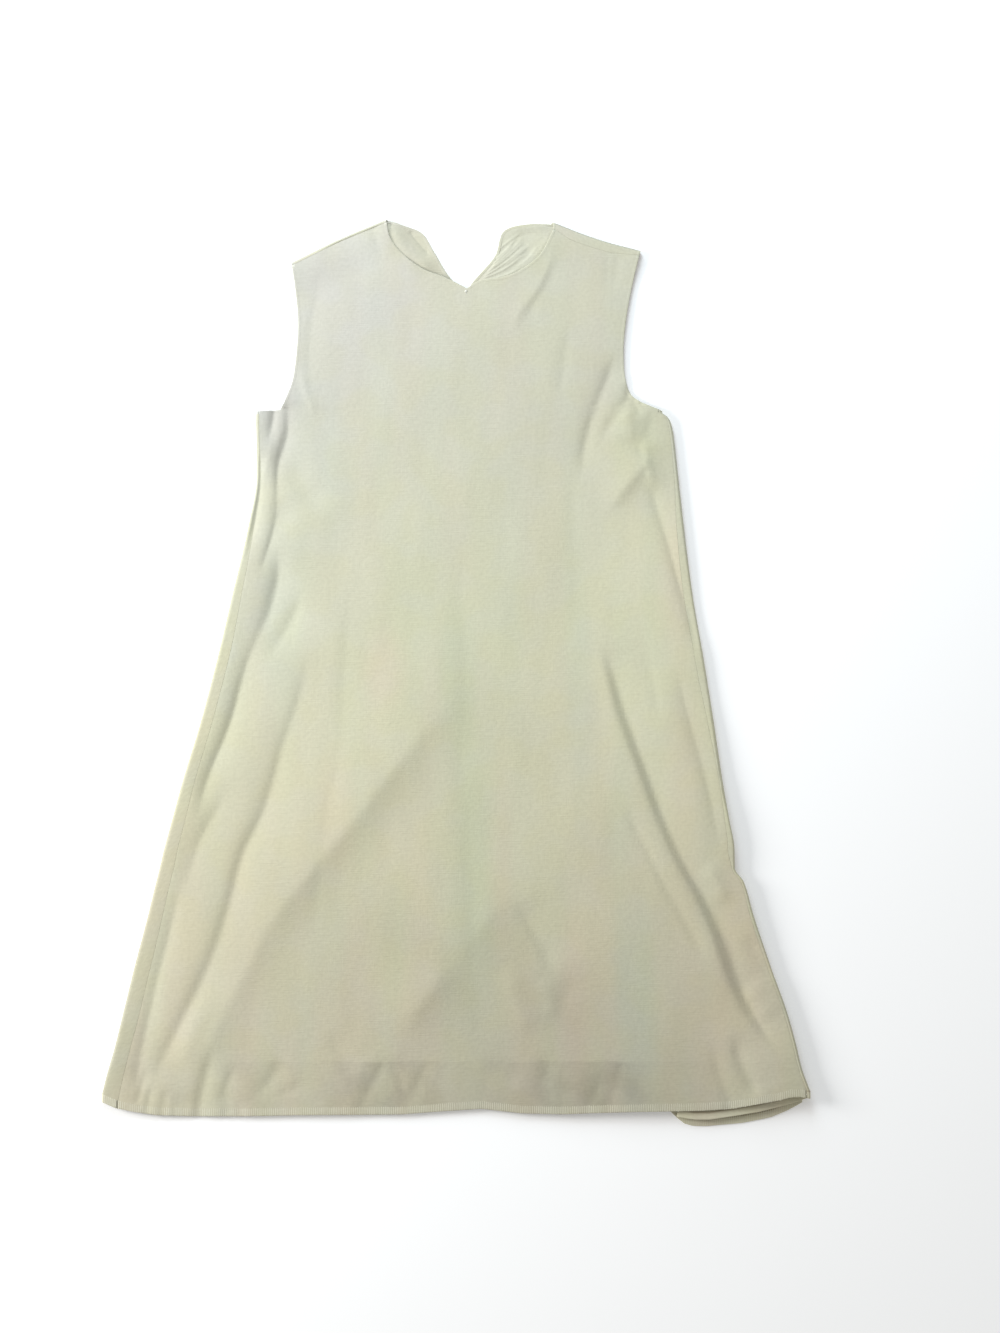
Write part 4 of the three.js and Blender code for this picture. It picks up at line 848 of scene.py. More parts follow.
def crepe(name, hem_band=True, shade=1.0, gap_shaded=False):
    """The dress's crepe, with or without the darker band above the hem, or paler where the back is
    doubled under the right hem, as painted light where the front above keeps the lamps off it, and
    with painted shade along its edge in the gap under the front's hem."""
    finish = Finish(name, Sheen_Weight=0.25, Sheen_Roughness=0.5, Specular_IOR_Level=0.25)
    cloth = finish.cloth_place()
    tone = dye_and_painted_light(finish, cloth)
    pebbles = finish.noise(cloth, 270, 2.0, 0.45)
    fine = finish.noise(finish.cloth_place((1, 1.6, 1)), 1500, 1.0, 0.5)
    slubs = finish.noise(finish.cloth_place((1, SLUB_LENGTH, 1)), 60, 2.0, 0.6)
    ends = finish.noise(finish.cloth_place((SLUB_LENGTH, 1, 1)), 60, 2.0, 0.6)
    grain = pebbles * 0.82 + fine * 0.18
    shading = finish.step(grain, 0.35, 0.65) * 0.05 + slubs * 0.055 + ends * 0.045
    tone = finish.between(DARKEST - shading, tone, (0.0, 0.0, 0.0))
    if hem_band:
        tone = finish.tinted(tone, near_hem(finish, cloth), HEM_TINT)
    tone = finish.tinted(tone, 1.0, (shade,) * 3)
    layer = finish.axis(cloth, 2)
    if gap_shaded:
        # Painted light: the tuck's doubled cloth is painted paler where the front above keeps the lamps
        # off it. Painted shade: its edge in the gap under the front's hem is painted darker.
        at_tuck = finish.step(finish.axis(cloth, 0), *TUCK_TONES)
        below = 1 - finish.step(layer, *(part * MM for part in GAP_SHADE_PART))
        tone = finish.tinted(tone, at_tuck, TUCK_PAINTED_LIGHT)
        tone = finish.tinted(tone, at_tuck * below, GAP_SHADE_TINT)
    else:
        # Painted shade on the round of the back's left and shoulder folds.
        tone = finish.tinted(tone, finish.step(layer, 1, 1 + FOLD_MARK), FOLD_PAINTED_SHADE)
    waves = finish.noise(finish.cloth_place((1, 1.2, 1)), 140, 3.0, 0.55)
    relief = finish.bump(waves, WAVE_DEPTH)
    relief = finish.bump(slubs + ends * 0.35, SLUB_DEPTH, below=relief)
    relief = finish.bump(grain, PEBBLE_DEPTH, below=relief)
    finish.wear(Base_Color=tone, Roughness=0.78 + 0.14 * grain, Normal=relief)
    return finish.material


SEAM_DIP = 0.05          # how deep the cloth sinks into a seam
SEAM_REACH = 1.5         # how far from the seam the dip has fallen to about a third


def seam_dip(distance):
    """How far the cloth sinks into a seam, at a distance from it."""
    return SEAM_DIP * np.exp(-((distance / SEAM_REACH) ** 2))


arm_left = inset_arm_left(front_arm_left, PANEL_INSET)
arm_right = inset_arm_right(front_arm_right, PANEL_INSET)
neck = inset_neck(front_neck, PANEL_INSET)
shelf = len(SHELF_PARTS) - 1
middle_steps = LEFT_SHOULDER_STEPS + 2 * NECK_STEPS + RIGHT_SHOULDER_STEPS
middle_parts = np.linspace(0, 1, middle_steps + 1)[:, None]
middle = arm_left[shelf] + (arm_right[shelf] - arm_left[shelf]) * middle_parts
front_top_row = np.concatenate((arm_left[:shelf], middle, arm_right[:shelf][::-1]))
parts = front_top_row[:, 0] - front_top_row[0, 0]
parts /= parts[-1]
body = []
for y in BODY_HEIGHTS:
    xs = front_left(y) + (front_right(y) - front_left(y)) * parts
    body.append(np.stack((xs, body_row(y, xs, look_up(FRONT_HEM, xs), front_top_row)), axis=1))
body[-1] = front_top_row
body = np.array(body)
left_parts = np.linspace(0, 1, LEFT_SHOULDER_STEPS + 1)
right_parts = np.linspace(0, 1, RIGHT_SHOULDER_STEPS + 1)
seam_left = shoulder_line(SHOULDER_LEFT, STRIP_LEFT, neck[0], arm_left[-1], left_parts, True)
seam_right = shoulder_line(SHOULDER_RIGHT, STRIP_RIGHT, neck[-1], arm_right[-1], right_parts, True)
top = np.concatenate((seam_left[::-1], neck[1:-1], seam_right))
yoke = patch(middle, top, arm_left[shelf:], arm_right[shelf:])


def on_front(grid, dip):
    """Points of the front in the frame, and their places in the cloth."""
    x, y = grid[..., 0], grid[..., 1]
    return in_place(x, y, front_height(x, y) - dip), np.stack((x * MM, y * MM, 0 * x), axis=-1)


body_dip = seam_dip(np.minimum(body[..., 0] - body[:, :1, 0], body[:, -1:, 0] - body[..., 0]))
yoke_depth = np.linalg.norm(yoke - yoke[-1:], axis=2)
on_shoulder = np.ones(middle_steps + 1)
on_shoulder[LEFT_SHOULDER_STEPS + 1 : -RIGHT_SHOULDER_STEPS - 1] = 0
yoke_dip = seam_dip(yoke_depth) * on_shoulder
front_body, front_body_cloth = on_front(body, body_dip)
front_yoke, front_yoke_cloth = on_front(yoke, yoke_dip)
front_yoke[0] = front_body[-1, shelf : shelf + middle_steps + 1]

bm = new_cloth_mesh()
woven_grid(bm, front_body, front_body_cloth)
woven_grid(bm, front_yoke, front_yoke_cloth)
bmesh.ops.remove_doubles(bm, verts=bm.verts, dist=1e-6)
bmesh.ops.recalc_face_normals(bm, faces=bm.faces)
crepe_finish = crepe("sage_crepe")
front = cloth_object("front_cloth", bm, crepe_finish)
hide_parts("front")

# ---------------------------------------------------------------------------------------------
# The back
# ---------------------------------------------------------------------------------------------
# The second panel of the same crepe lies on the floor with its outside down. It rolls over both
# side folds and both shoulders to meet the front, and a tuck is doubled into it at the right hem.

BACK_HEM = (
    (-363, 10), (-344, 5), (-320, 2), (-30, 3), (28, 7), (80, 3), (224, 1), (231, -9), (240, -14),
    (256, -15), (296, -11.5), (325, -6), (345, 2), (362, 11.5),
)
TUCK_HEM = ((229, -5), (245, -8), (265, -8), (314, 0), (366, 13))
BETWEEN_LAYERS = 1       # the least distance between the middles of the front's and the back's cloth
NECK_OPENS = (868, 884)  # heights over which no front lies on the back any more
SETTLES = (3, 8)         # depths below a shoulder fold over which the back comes down to the floor
NECK_BACK_LEFT = ((-77, 956), (-60, 950), (-38, 941), (-25, 920), (-9, 893), (11, 871))
NECK_BACK_RIGHT = ((11, 871), (15, 882.5), (25, 895), (42, 916), (50.5, 943), (76, 951), (109, 951))
SLIT_POINT = (11, 864)

# The creases of the back. Those beside the slit show through the neck, and the long ones lift the
# skirt off the floor a little, where it was turned over and smoothed.
BACK_CREASES = (
    # its line from upper to lower end, height, reach to the left and right, fades, power, crest
    (((-78, 954), (-60, 926), (-40, 908), (-14, 893)), (3, 2.3, 1.6, 1.2), 13, 13, (0, 0.3), 2),
    (((30, 889), (60, 893), (90, 915), (106, 950)), 1, 13, 32, (0.3, 0), 2),
    (((-75, 948), (-69, 931), (-60, 919), (-46, 908)), 0.8, 1.2, 1.4, (0.1, 0.3)),
    (((-68, 944), (-61, 929), (-50, 918), (-36, 906), (-22, 897)), 1.1, 1.6, 2.6, (0.1, 0.3)),
    (((-52, 944), (-43, 932), (-34, 921), (-27, 912)), -0.7, 1.6, 3, (0.1, 0.3)),
    (((24, 887), (42, 890), (58, 895), (74, 905)), 0.45, 0.9, 1, (0.1, 0.3), 1, 0.7),
    (((26, 889), (42, 895), (58, 904), (76, 919)), 0.5, 0.9, 1, (0.1, 0.3), 1, 0.7),
    (((29, 892), (43, 900), (58, 911), (77, 928)), 0.5, 0.9, 1, (0.1, 0.3), 1, 0.7),
    (((32, 896), (46, 906), (60, 918), (76, 935)), 0.5, 0.9, 1, (0.1, 0.3), 1, 0.7),
    (((36, 900), (49, 911), (62, 924), (74, 938)), 0.45, 0.9, 1, (0.1, 0.3), 1, 0.7),
    (((39, 905), (51, 916), (64, 930)), 0.45, 0.9, 1, (0.1, 0.3), 1, 0.7),
    (((42, 911), (53, 921), (66, 936)), 0.4, 0.9, 1, (0.1, 0.3), 1, 0.7),
    (((50, 902), (64, 913), (82, 930)), 0.4, 0.9, 1, (0.2, 0.3), 1, 0.7),
    (((60, 896), (76, 906), (88, 918), (97, 931), (103, 944)), 0.5, 4, 1.6, (0.3, 0.2)),
    (((68, 936), (76, 926), (80, 912)), -0.4, 3, 4),
    (((52, 940), (72, 947), (100, 948)), 0.5, 3.5, 3),
    (((45, 922), (56, 931), (72, 943)), 0.35, 0.9, 1, (0.1, 0.3), 1, 0.7),
    (((62, 900), (78, 912), (94, 934)), 0.35, 0.9, 1, (0.2, 0.3), 1, 0.7),
    (((56, 930), (72, 938), (92, 940)), -0.4, 3, 3),
    (((-140, 700), (-175, 520), (-215, 330), (-260, 130)), 0.9, 9, 13),
    (((-60, 640), (-90, 420), (-120, 200)), 0.7, 14, 10),
    (((150, 690), (130, 500), (95, 330), (40, 160)), 0.9, 10, 15),
    (((20, 520), (70, 340), (140, 180)), 0.7, 12, 9),
    (((-20, 300), (-90, 160), (-180, 70)), 0.8, 11, 14),
    (((-150, 800), (-60, 720), (60, 690)), 0.7, 10, 12),
)
TUCK_OPEN = 350          # height where the tuck has opened out again
TUCK_SPREAD = 18         # length of either fold there
TUCK_SPREAD_MIDDLE = 12  # length of the layer between them there
TUCK_MARGIN = 39         # how far inside the side fold it ends there
TUCK_TURN = 60           # height over which it turns away from its line to that place
FLATTENED = 0.25         # the turn of a fold in radians below which it is a mere bend


def tuck_at(y):
    """The turn of the tuck's folds at each height, their length, and what they add up to."""
    turn = np.pi * (1 - smooth(TUCK_CLOSED, TUCK_OPEN, y))
    flat = 1 - np.clip(turn / FLATTENED, 0, 1)
    fold = np.pi * TUCK_RADIUS + (TUCK_SPREAD - np.pi * TUCK_RADIUS) * flat
    part = np.clip(y / TUCK_CLOSED, 0, 1)
    overlap = TUCK_DEPTH[0] + (TUCK_DEPTH[1] - TUCK_DEPTH[0]) * part
    middle = overlap + (TUCK_SPREAD_MIDDLE - overlap) * flat
    turn = np.maximum(turn, 1e-6)
    radius = fold / turn
    rise = 2 * radius * (1 - np.cos(turn)) + middle * np.sin(turn)
    run = 2 * radius * np.sin(turn) + middle * np.cos(turn)
    edge = TUCK_EDGE[0] + (TUCK_EDGE[1] - TUCK_EDGE[0]) * part
    return turn, fold, middle, edge, run, rise


def back_height(x, y):
    """The height of the middle of the back's cloth where it lies on the floor."""
    x, y = np.broadcast_arrays(np.asarray(x, float), np.asarray(y, float))
    flat_x, flat_y = x.ravel(), y.ravel()
    lift = np.zeros_like(flat_x)
    for crease in BACK_CREASES:
        lift += creased(flat_x, flat_y, *crease)
    lift = np.maximum(lift, 0)
    room = np.maximum(front_height(flat_x, flat_y) - FLOOR_LAYER - BETWEEN_LAYERS, 0)
    open_neck = smooth(*NECK_OPENS, flat_y)
    return FLOOR_LAYER + np.where(lift < room, lift, room + (lift - room) * open_neck).reshape(x.shape)


def back_near_shoulders(x, y):
    """The same height, which settles on the floor before a shoulder fold."""
    return FLOOR_LAYER + (back_height(x, y) - FLOOR_LAYER) * smooth(*SETTLES, shoulder_depth(x, y))


# How the points of the back's grid are spread: round a roll and over its flap, from the left side
# fold to the tuck, through the tuck's two folds, and on to the right side fold.
ROLL_STEPS = 10
ROLL_PARTS = np.linspace(0, 1, ROLL_STEPS + 1)[1:]
FLAP_PARTS = np.array((0.2, 0.4, 0.6, 0.8, 1.0))
SHORTEST_FLAP = 0.3
ROLL_SHELF_FADE = 30     # height over which a roll's own part of the shelf fades out below it
BACK_SHELF = 4           # steps along an armhole's shelf
LEFT_PARTS = np.concatenate(
    (
        np.linspace(0, 0.065, BACK_SHELF + 1),
        np.linspace(0.065, 0.78, 48)[1:],
        np.linspace(0.78, 1, 22)[1:-1],
    )
)
FOLD_STEPS = 8
TUCK_PARTS = np.concatenate(
    (np.linspace(0, 1, FOLD_STEPS + 1), np.linspace(1, 2, 13)[1:], np.linspace(2, 3, FOLD_STEPS + 1)[1:])
)
RIGHT_PARTS = np.concatenate(((0.12, 0.24), np.linspace(0.24, 1, BACK_SHELF + 1)[1:]))


def side_roll(column, sign, y):
    """A side fold of the back at each height: where it starts, its lower and upper layer, its flap."""
    edge, strip = flowing(column, y), flowing(column + 1, y)
    bottom = FLOOR_LAYER + (tuck_at(y)[-1] if sign < 0 else 0 * y)
    start = edge
    for _ in range(3):
        over = front_height(start, y)
        depth = (over - bottom) / 2 + CLOTH / 2
        start = edge + sign * depth
    return start, bottom, over, np.maximum(strip - depth, SHORTEST_FLAP)


def rolled(start_x, sign, bottom, over, flap, y):
    """The roll and the flap that follow a side fold's start, as rows of x and rows of z."""
    radius = (over - bottom)[:, None] / 2
    angle = np.pi * ROLL_PARTS
    round_x = start_x[:, None] - sign * radius * np.sin(angle)
    round_z = bottom[:, None] + radius * (1 - np.cos(angle))
    flap_x = start_x[:, None] + sign * flap[:, None] * FLAP_PARTS
    flap_y = np.broadcast_to(y[:, None], flap_x.shape)
    flap_z = front_height(flap_x, flap_y) - seam_dip(flap[:, None] * (1 - FLAP_PARTS))
    return np.concatenate((round_x, flap_x), axis=1), np.concatenate((round_z, flap_z), axis=1)


left_start, left_bottom, left_over, left_flap = side_roll(1, 1, BODY_HEIGHTS)
right_start, right_bottom, right_over, right_flap = side_roll(3, -1, BODY_HEIGHTS)

# The sections of the back between its two side folds, with the tuck's two folds turned in.
turn, fold, overlap, tuck_edge, tuck_run, tuck_rise = (value[:, None] for value in tuck_at(BODY_HEIGHTS))
part = np.minimum(TUCK_PARTS, 3 - TUCK_PARTS)
arc = np.minimum(part, 1)
angle = np.maximum(turn * arc, 1e-9)
straight = np.maximum(part - 1, 0) * overlap
run = fold * arc / angle * np.sin(angle) + straight * np.cos(angle)
rise = fold * arc / angle * (1 - np.cos(angle)) + straight * np.sin(angle)
second = TUCK_PARTS > 1.5
run = np.where(second, tuck_run - run, run)
rise = np.where(second, tuck_rise - rise, rise)
opened = smooth(TUCK_CLOSED, TUCK_CLOSED + TUCK_TURN, BODY_HEIGHTS)[:, None]
tuck_start = tuck_edge + (right_start[:, None] - TUCK_MARGIN - tuck_run - tuck_edge) * opened
tuck_end = tuck_start + tuck_run
left_x = left_start[:, None] + (tuck_start - left_start[:, None]) * LEFT_PARTS
right_x = tuck_end + (right_start[:, None] - tuck_end) * RIGHT_PARTS
back_x = np.concatenate((left_x, tuck_start + run, right_x), axis=1)
back_rise = np.concatenate((0 * left_x, rise, 0 * right_x + tuck_rise), axis=1)

# The outline of the back's yoke, and the row of the body that it grows from.
SHOULDER_ROLL = FOLD_HEIGHT
SHOULDER_DEPTH = (SHOULDER_ROLL - FLOOR_LAYER) / 2 + CLOTH / 2
BACK_SHELF_PARTS = np.linspace(0, 1, BACK_SHELF + 1)
BACK_NECK_STEPS = 22
BACK_LEFT_SHOULDER_STEPS = 16
back_arm_left = armhole_line(
    ARMHOLE_LEFT, left_start[-1], BACK_SHELF_PARTS, YOKE_STEPS, SHOULDER_LEFT, SHOULDER_DEPTH
)
back_arm_right = armhole_line(
    ARMHOLE_RIGHT, right_start[-1], BACK_SHELF_PARTS, YOKE_STEPS, SHOULDER_RIGHT, SHOULDER_DEPTH
)
back_neck_left = trimmed(NECK_BACK_LEFT, BACK_NECK_STEPS, SHOULDER_LEFT, SHOULDER_DEPTH, at_start=True)
back_neck_right = trimmed(NECK_BACK_RIGHT, BACK_NECK_STEPS, SHOULDER_RIGHT, SHOULDER_DEPTH)
arm_left = inset_arm_left(back_arm_left, PANEL_INSET)
arm_right = inset_arm_right(back_arm_right, PANEL_INSET)
neck_left = moved(back_neck_left, PANEL_INSET, ALONG_LEFT)
neck_right = moved(back_neck_right, PANEL_INSET, None, ALONG_RIGHT)
(left, left_y), (right, right_y) = arm_left[BACK_SHELF], arm_right[BACK_SHELF]
slope = (right_y - left_y) / (right - left)
top_y = left_y + (np.clip(back_x[-1], left, right) - left) * slope
back_top_row = np.stack((back_x[-1], top_y), axis=1)
back_top_row[: BACK_SHELF + 1] = arm_left[: BACK_SHELF + 1]
back_top_row[-BACK_SHELF - 1 :] = arm_right[: BACK_SHELF + 1][::-1]

# How far along the tuck's first fold each column is, where the hem changes to that of the tuck.
in_tuck = np.concatenate((0 * LEFT_PARTS, smooth(0.2, 1, TUCK_PARTS), 1 + 0 * RIGHT_PARTS))
sorted_top_row = np.column_stack((np.sort(back_top_row[:, 0]), back_top_row[:, 1]))
grid_y = []
for row, y in enumerate(BODY_HEIGHTS):
    xs = back_x[row]
    hem = look_up(BACK_HEM, xs) * (1 - in_tuck) + look_up(TUCK_HEM, xs) * in_tuck
    hem[[0, -1]] = look_up(FRONT_HEM, xs[[0, -1]])
    grid_y.append(body_row(y, xs, hem, sorted_top_row))
grid_y = np.array(grid_y)
back_x[-1], grid_y[-1] = back_top_row.T
back_z = np.where(back_rise < 1e-6, back_height(back_x, grid_y), FLOOR_LAYER + back_rise)
low = (1 - smooth(0, HEM_FADE, BODY_HEIGHTS))[:, None]
high = smooth(UNDERARM - ROLL_SHELF_FADE, UNDERARM, BODY_HEIGHTS)[:, None]


def with_hem(x, start_y, start_x, armhole):
    """The heights of a roll's points, which follow the front's hem and the armhole's short shelf."""
    (x0, y0), (x1, y1) = armhole[:2]
    shelf = (x - start_x[:, None]) * (y1 - y0) / (x1 - x0) * high
    hem = (look_up(FRONT_HEM, x) - look_up(FRONT_HEM, start_x)[:, None]) * low
    return start_y[:, None] + hem + shelf


left_roll_x, left_roll_z = rolled(left_start, 1, left_bottom, left_over, left_flap, grid_y[:, 0])
right_roll_x, right_roll_z = rolled(right_start, -1, right_bottom, right_over, right_flap, grid_y[:, -1])
left_roll_y = with_hem(left_roll_x, grid_y[:, 0], left_start, ARMHOLE_LEFT)
right_roll_y = with_hem(right_roll_x, grid_y[:, -1], right_start, ARMHOLE_RIGHT)
back_body = in_place(
    np.concatenate((left_roll_x[:, ::-1], back_x, right_roll_x), axis=1),
    np.concatenate((left_roll_y[:, ::-1], grid_y, right_roll_y), axis=1),
    np.concatenate((left_roll_z[:, ::-1], back_z, right_roll_z), axis=1),
)
steps = np.linalg.norm(np.diff(back_body, axis=1), axis=2)
travelled = np.concatenate((np.zeros((len(steps), 1)), np.cumsum(steps, axis=1)), axis=1)
turned = left_roll_x.shape[1]
middle_column = turned + len(LEFT_PARTS) // 2
travelled -= travelled[:, middle_column : middle_column + 1]
around_fold = FOLD_MARK * np.concatenate((np.sin(np.pi * ROLL_PARTS), 0 * FLAP_PARTS))
marked = np.concatenate((around_fold[::-1], np.zeros(back_body.shape[1] - len(around_fold))))
back_cloth = np.stack((travelled, back_body[..., 1] - pattern_y, 0 * travelled + 1 + marked), axis=-1)

# The yoke, up to the shoulder folds and the slit neck.
inner = slice(BACK_SHELF, len(in_tuck) - BACK_SHELF)
bottom = back_top_row[inner]
neck_columns = BACK_LEFT_SHOULDER_STEPS + 2 * BACK_NECK_STEPS
right_fractions = np.linspace(0, 1, len(bottom) - neck_columns)
left_fractions = np.linspace(0, 1, BACK_LEFT_SHOULDER_STEPS + 1)
fold_left = shoulder_line(SHOULDER_LEFT, STRIP_LEFT, neck_left[0], arm_left[-1], left_fractions, False)
fold_right = shoulder_line(
    SHOULDER_RIGHT, STRIP_RIGHT, neck_right[-1], arm_right[-1], right_fractions, False
)
top = np.concatenate((fold_left[::-1], neck_left[1:-1], [SLIT_POINT], neck_right[1:-1], fold_right))
yoke = patch(bottom, top, arm_left[BACK_SHELF:], arm_right[BACK_SHELF:])
x, y = yoke[..., 0], yoke[..., 1]
back_yoke = in_place(x, y, back_near_shoulders(x, y))
back_yoke[0] = back_body[-1, turned:][inner]
back_yoke_cloth = np.stack((x * MM, y * MM, 0 * x + 1), axis=-1)
back_yoke_cloth[0] = back_cloth[-1, turned:][inner]


def shoulder_roll(strips, along, across, start, fractions, neck_end, arm_end):
    """A shoulder rolled over to the front's seam, sliding so that its corners meet the front's."""
    neck_first = fractions[0] == 0
    at_neck, at_arm = (start[0], start[-1]) if neck_first else (start[-1], start[0])
    slides = (neck_end - at_neck) @ along, (arm_end - at_arm) @ along
    flap = look_up(strips, fractions) - SHOULDER_DEPTH
    ends = (at_neck, neck_end, strips[0][1]), (at_arm, arm_end, strips[-1][1])
    short = [(place - end) @ across - (strip - SHOULDER_DEPTH) - SEAM_GAP for place, end, strip in ends]
    flap = np.maximum(flap + short[0] + (short[1] - short[0]) * fractions, SHORTEST_FLAP)
    radius = (SHOULDER_ROLL - FLOOR_LAYER) / 2
    around = np.pi * radius
    rows = []
    for roll, out in [(part, 0) for part in ROLL_PARTS] + [(1, part) for part in FLAP_PARTS]:
        travel = around * roll + flap * out
        slide = (slides[0] + (slides[1] - slides[0]) * fractions) * travel / (around + flap)
        reach = radius * math.sin(math.pi * roll) - flap * out
        place = start + along * slide[:, None] + across * np.reshape(reach, (-1, 1))
        z = FLOOR_LAYER + radius * (1 - math.cos(math.pi * roll))
        if out:
            settled = front_height(place[:, 0], place[:, 1]) - seam_dip(flap * (1 - out))
            z = z + (settled - z) * smooth(0, 0.6, out)
        rows.append(np.column_stack((place, np.broadcast_to(z, len(place)))))
    return np.array(rows)


left_over_rows = shoulder_roll(
    STRIP_LEFT, ALONG_LEFT, ACROSS_LEFT, fold_left[::-1], left_fractions[::-1], seam_left[0], seam_left[-1]
)
right_over_rows = shoulder_roll(
    STRIP_RIGHT, ALONG_RIGHT, ACROSS_RIGHT, fold_right, right_fractions, seam_right[0], seam_right[-1]
)


def shoulder_grid(rows, first_row, cloth_row):
    """A rolled shoulder as points of the frame, from the row that it starts at, and its cloth."""
    points = np.concatenate(([first_row], in_place(rows[..., 0], rows[..., 1], rows[..., 2])))
    steps = np.linalg.norm(np.diff(points, axis=0), axis=2)
    travel = np.concatenate((np.zeros((1, steps.shape[1])), np.cumsum(steps, axis=0)))
    marked = np.concatenate(([0], around_fold))[:, None]
    return points, cloth_row + np.stack((0 * travel, travel, 0 * travel + marked), axis=-1)


on_left = slice(0, BACK_LEFT_SHOULDER_STEPS + 1)
on_right = slice(neck_columns, None)
left_shoulder, left_shoulder_cloth = shoulder_grid(
    left_over_rows, back_yoke[-1, on_left], back_yoke_cloth[-1, on_left]
)
right_shoulder, right_shoulder_cloth = shoulder_grid(
    right_over_rows, back_yoke[-1, on_right], back_yoke_cloth[-1, on_right]
)

bm = new_cloth_mesh()
for points, cloth in (
    (back_body, back_cloth),
    (back_yoke, back_yoke_cloth),
    (left_shoulder, left_shoulder_cloth),
    (right_shoulder, right_shoulder_cloth),
):
    woven_grid(bm, points[:, ::-1], cloth[:, ::-1])
bmesh.ops.remove_doubles(bm, verts=bm.verts, dist=1e-6)

# The part that shows through the neck is finer, for its narrow pleats.
NECK_SHOWS = ((-80, 872), (106, 956))
NECK_CUTS = 5


def in_neck(verts):
    """Which vertices lie flat behind the open neck, and where they are on the pattern."""
    places = np.array([vert.co for vert in verts])
    x, y = (places[:, 0] - pattern_x) / MM, (places[:, 1] - pattern_y) / MM
    (left, low), (right, high) = NECK_SHOWS
    inside = (x > left) & (x < right) & (y > low) & (y < high)
    inside &= shoulder_depth(x, y) > SHOULDER_DEPTH - 0.01
    return inside & (places[:, 2] < FOLD_HEIGHT / 2 * MM), x, y


chosen = {vert for vert, inside in zip(bm.verts, in_neck(bm.verts)[0]) if inside}
edges = [edge for edge in bm.edges if edge.verts[0] in chosen and edge.verts[1] in chosen]
bmesh.ops.subdivide_edges(bm, edges=edges, cuts=NECK_CUTS, use_grid_fill=True)
inside, x, y = in_neck(bm.verts)
for vert, settled, height in zip(bm.verts, inside, back_near_shoulders(x, y)):
    if settled:
        vert.co.z = height * MM
back = cloth_object("back_cloth", bm, crepe_finish)
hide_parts("back")

# ---------------------------------------------------------------------------------------------
# The rolled bindings of the neck and armholes
# ---------------------------------------------------------------------------------------------
# A narrow bias strip of the same crepe is turned over the raw edge of each opening and sewn down,
# so that the edge ends in a thin soft roll with a fine groove beside it.

BINDING_WIDTH = 3.5
BINDING_WALL = 0.88
BINDING_FLATNESS = 0.45
BINDING_RING = 14


def edge_on_front(line):
    """A line of an opening of the front, at the front's height."""
    x, y = line.T
    return in_place(x, y, front_height(x, y))


def rolled_edge(bm, inner, outer, wall, flatness):
    """A closed roll between two lines, with its two ends closed. At flatness 1 it is round. It
    gives the upward direction along it."""
    middle, half = (inner + outer) / 2, (outer - inner) / 2
    tangent = np.gradient(middle, axis=0)
    up = np.cross(tangent, half)
    up /= np.linalg.norm(up, axis=1)[:, None]
    angle = np.linspace(0, 2 * np.pi, BINDING_RING + 1)
    across = np.sign(np.cos(angle)) * np.abs(np.cos(angle)) ** flatness
    lift = np.sign(np.sin(angle)) * np.abs(np.sin(angle)) ** flatness * wall * MM / 2
    points = middle[:, None] + half[:, None] * across[:, None] + up[:, None] * lift[:, None]
    cloth = points - in_place(0, 0, 0)
    cloth[..., 2] = across * MM
    woven_grid(bm, points, cloth)
    bmesh.ops.remove_doubles(bm, verts=bm.verts, dist=1e-7)
    bmesh.ops.holes_fill(bm, edges=bm.edges, sides=2 * BINDING_RING)
    bmesh.ops.recalc_face_normals(bm, faces=bm.faces)
    return up


def binding(name, inner, outer, finish):
    """One binding, which stands for the CAD node of its own name."""
    bm = new_cloth_mesh()
    rolled_edge(bm, inner, outer, BINDING_WALL, BINDING_FLATNESS)
    piece = cloth_object(name + "_cloth", bm, finish, thickness=0)
    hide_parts(name)


def edge_on_back(line):
    """A line of an opening of the back, raised so that a binding's thicker wall rests on the floor."""
    x, y = line.T
    return in_place(x, y, back_near_shoulders(x, y) + (BINDING_WALL - CLOTH) / 2)


def carried_over(spots, direction):
    """The rolled end of a binding, inside and outside, along the cloth's own rolled edge."""
    way = np.array((*direction, 0)) * MM
    return spots - way * (BINDING_WIDTH - PANEL_INSET), spots + way * PANEL_INSET


def back_binding(name, inset, before, after, finish):
    """A binding of the back, on the floor in its middle and rolled over the folds at its ends."""
    inner, outer = edge_on_back(inset(BINDING_WIDTH)), edge_on_back(inset(0))
    if before is not None:
        inner, outer = np.concatenate((before[0], inner)), np.concatenate((before[1], outer))
    if after is not None:
        inner, outer = np.concatenate((inner, after[0])), np.concatenate((outer, after[1]))
    binding(name, inner, outer, finish)


bias_finish = crepe("bias_crepe", hem_band=False)
for name, inset, line in (
    ("neck_binding_front", inset_neck, front_neck),
    ("armhole_binding_front_left", inset_arm_left, front_arm_left),
    ("armhole_binding_front_right", inset_arm_right, front_arm_right),
):
    inner, outer = (edge_on_front(inset(line, distance)) for distance in (BINDING_WIDTH, 0))
    binding(name, inner, outer, bias_finish)

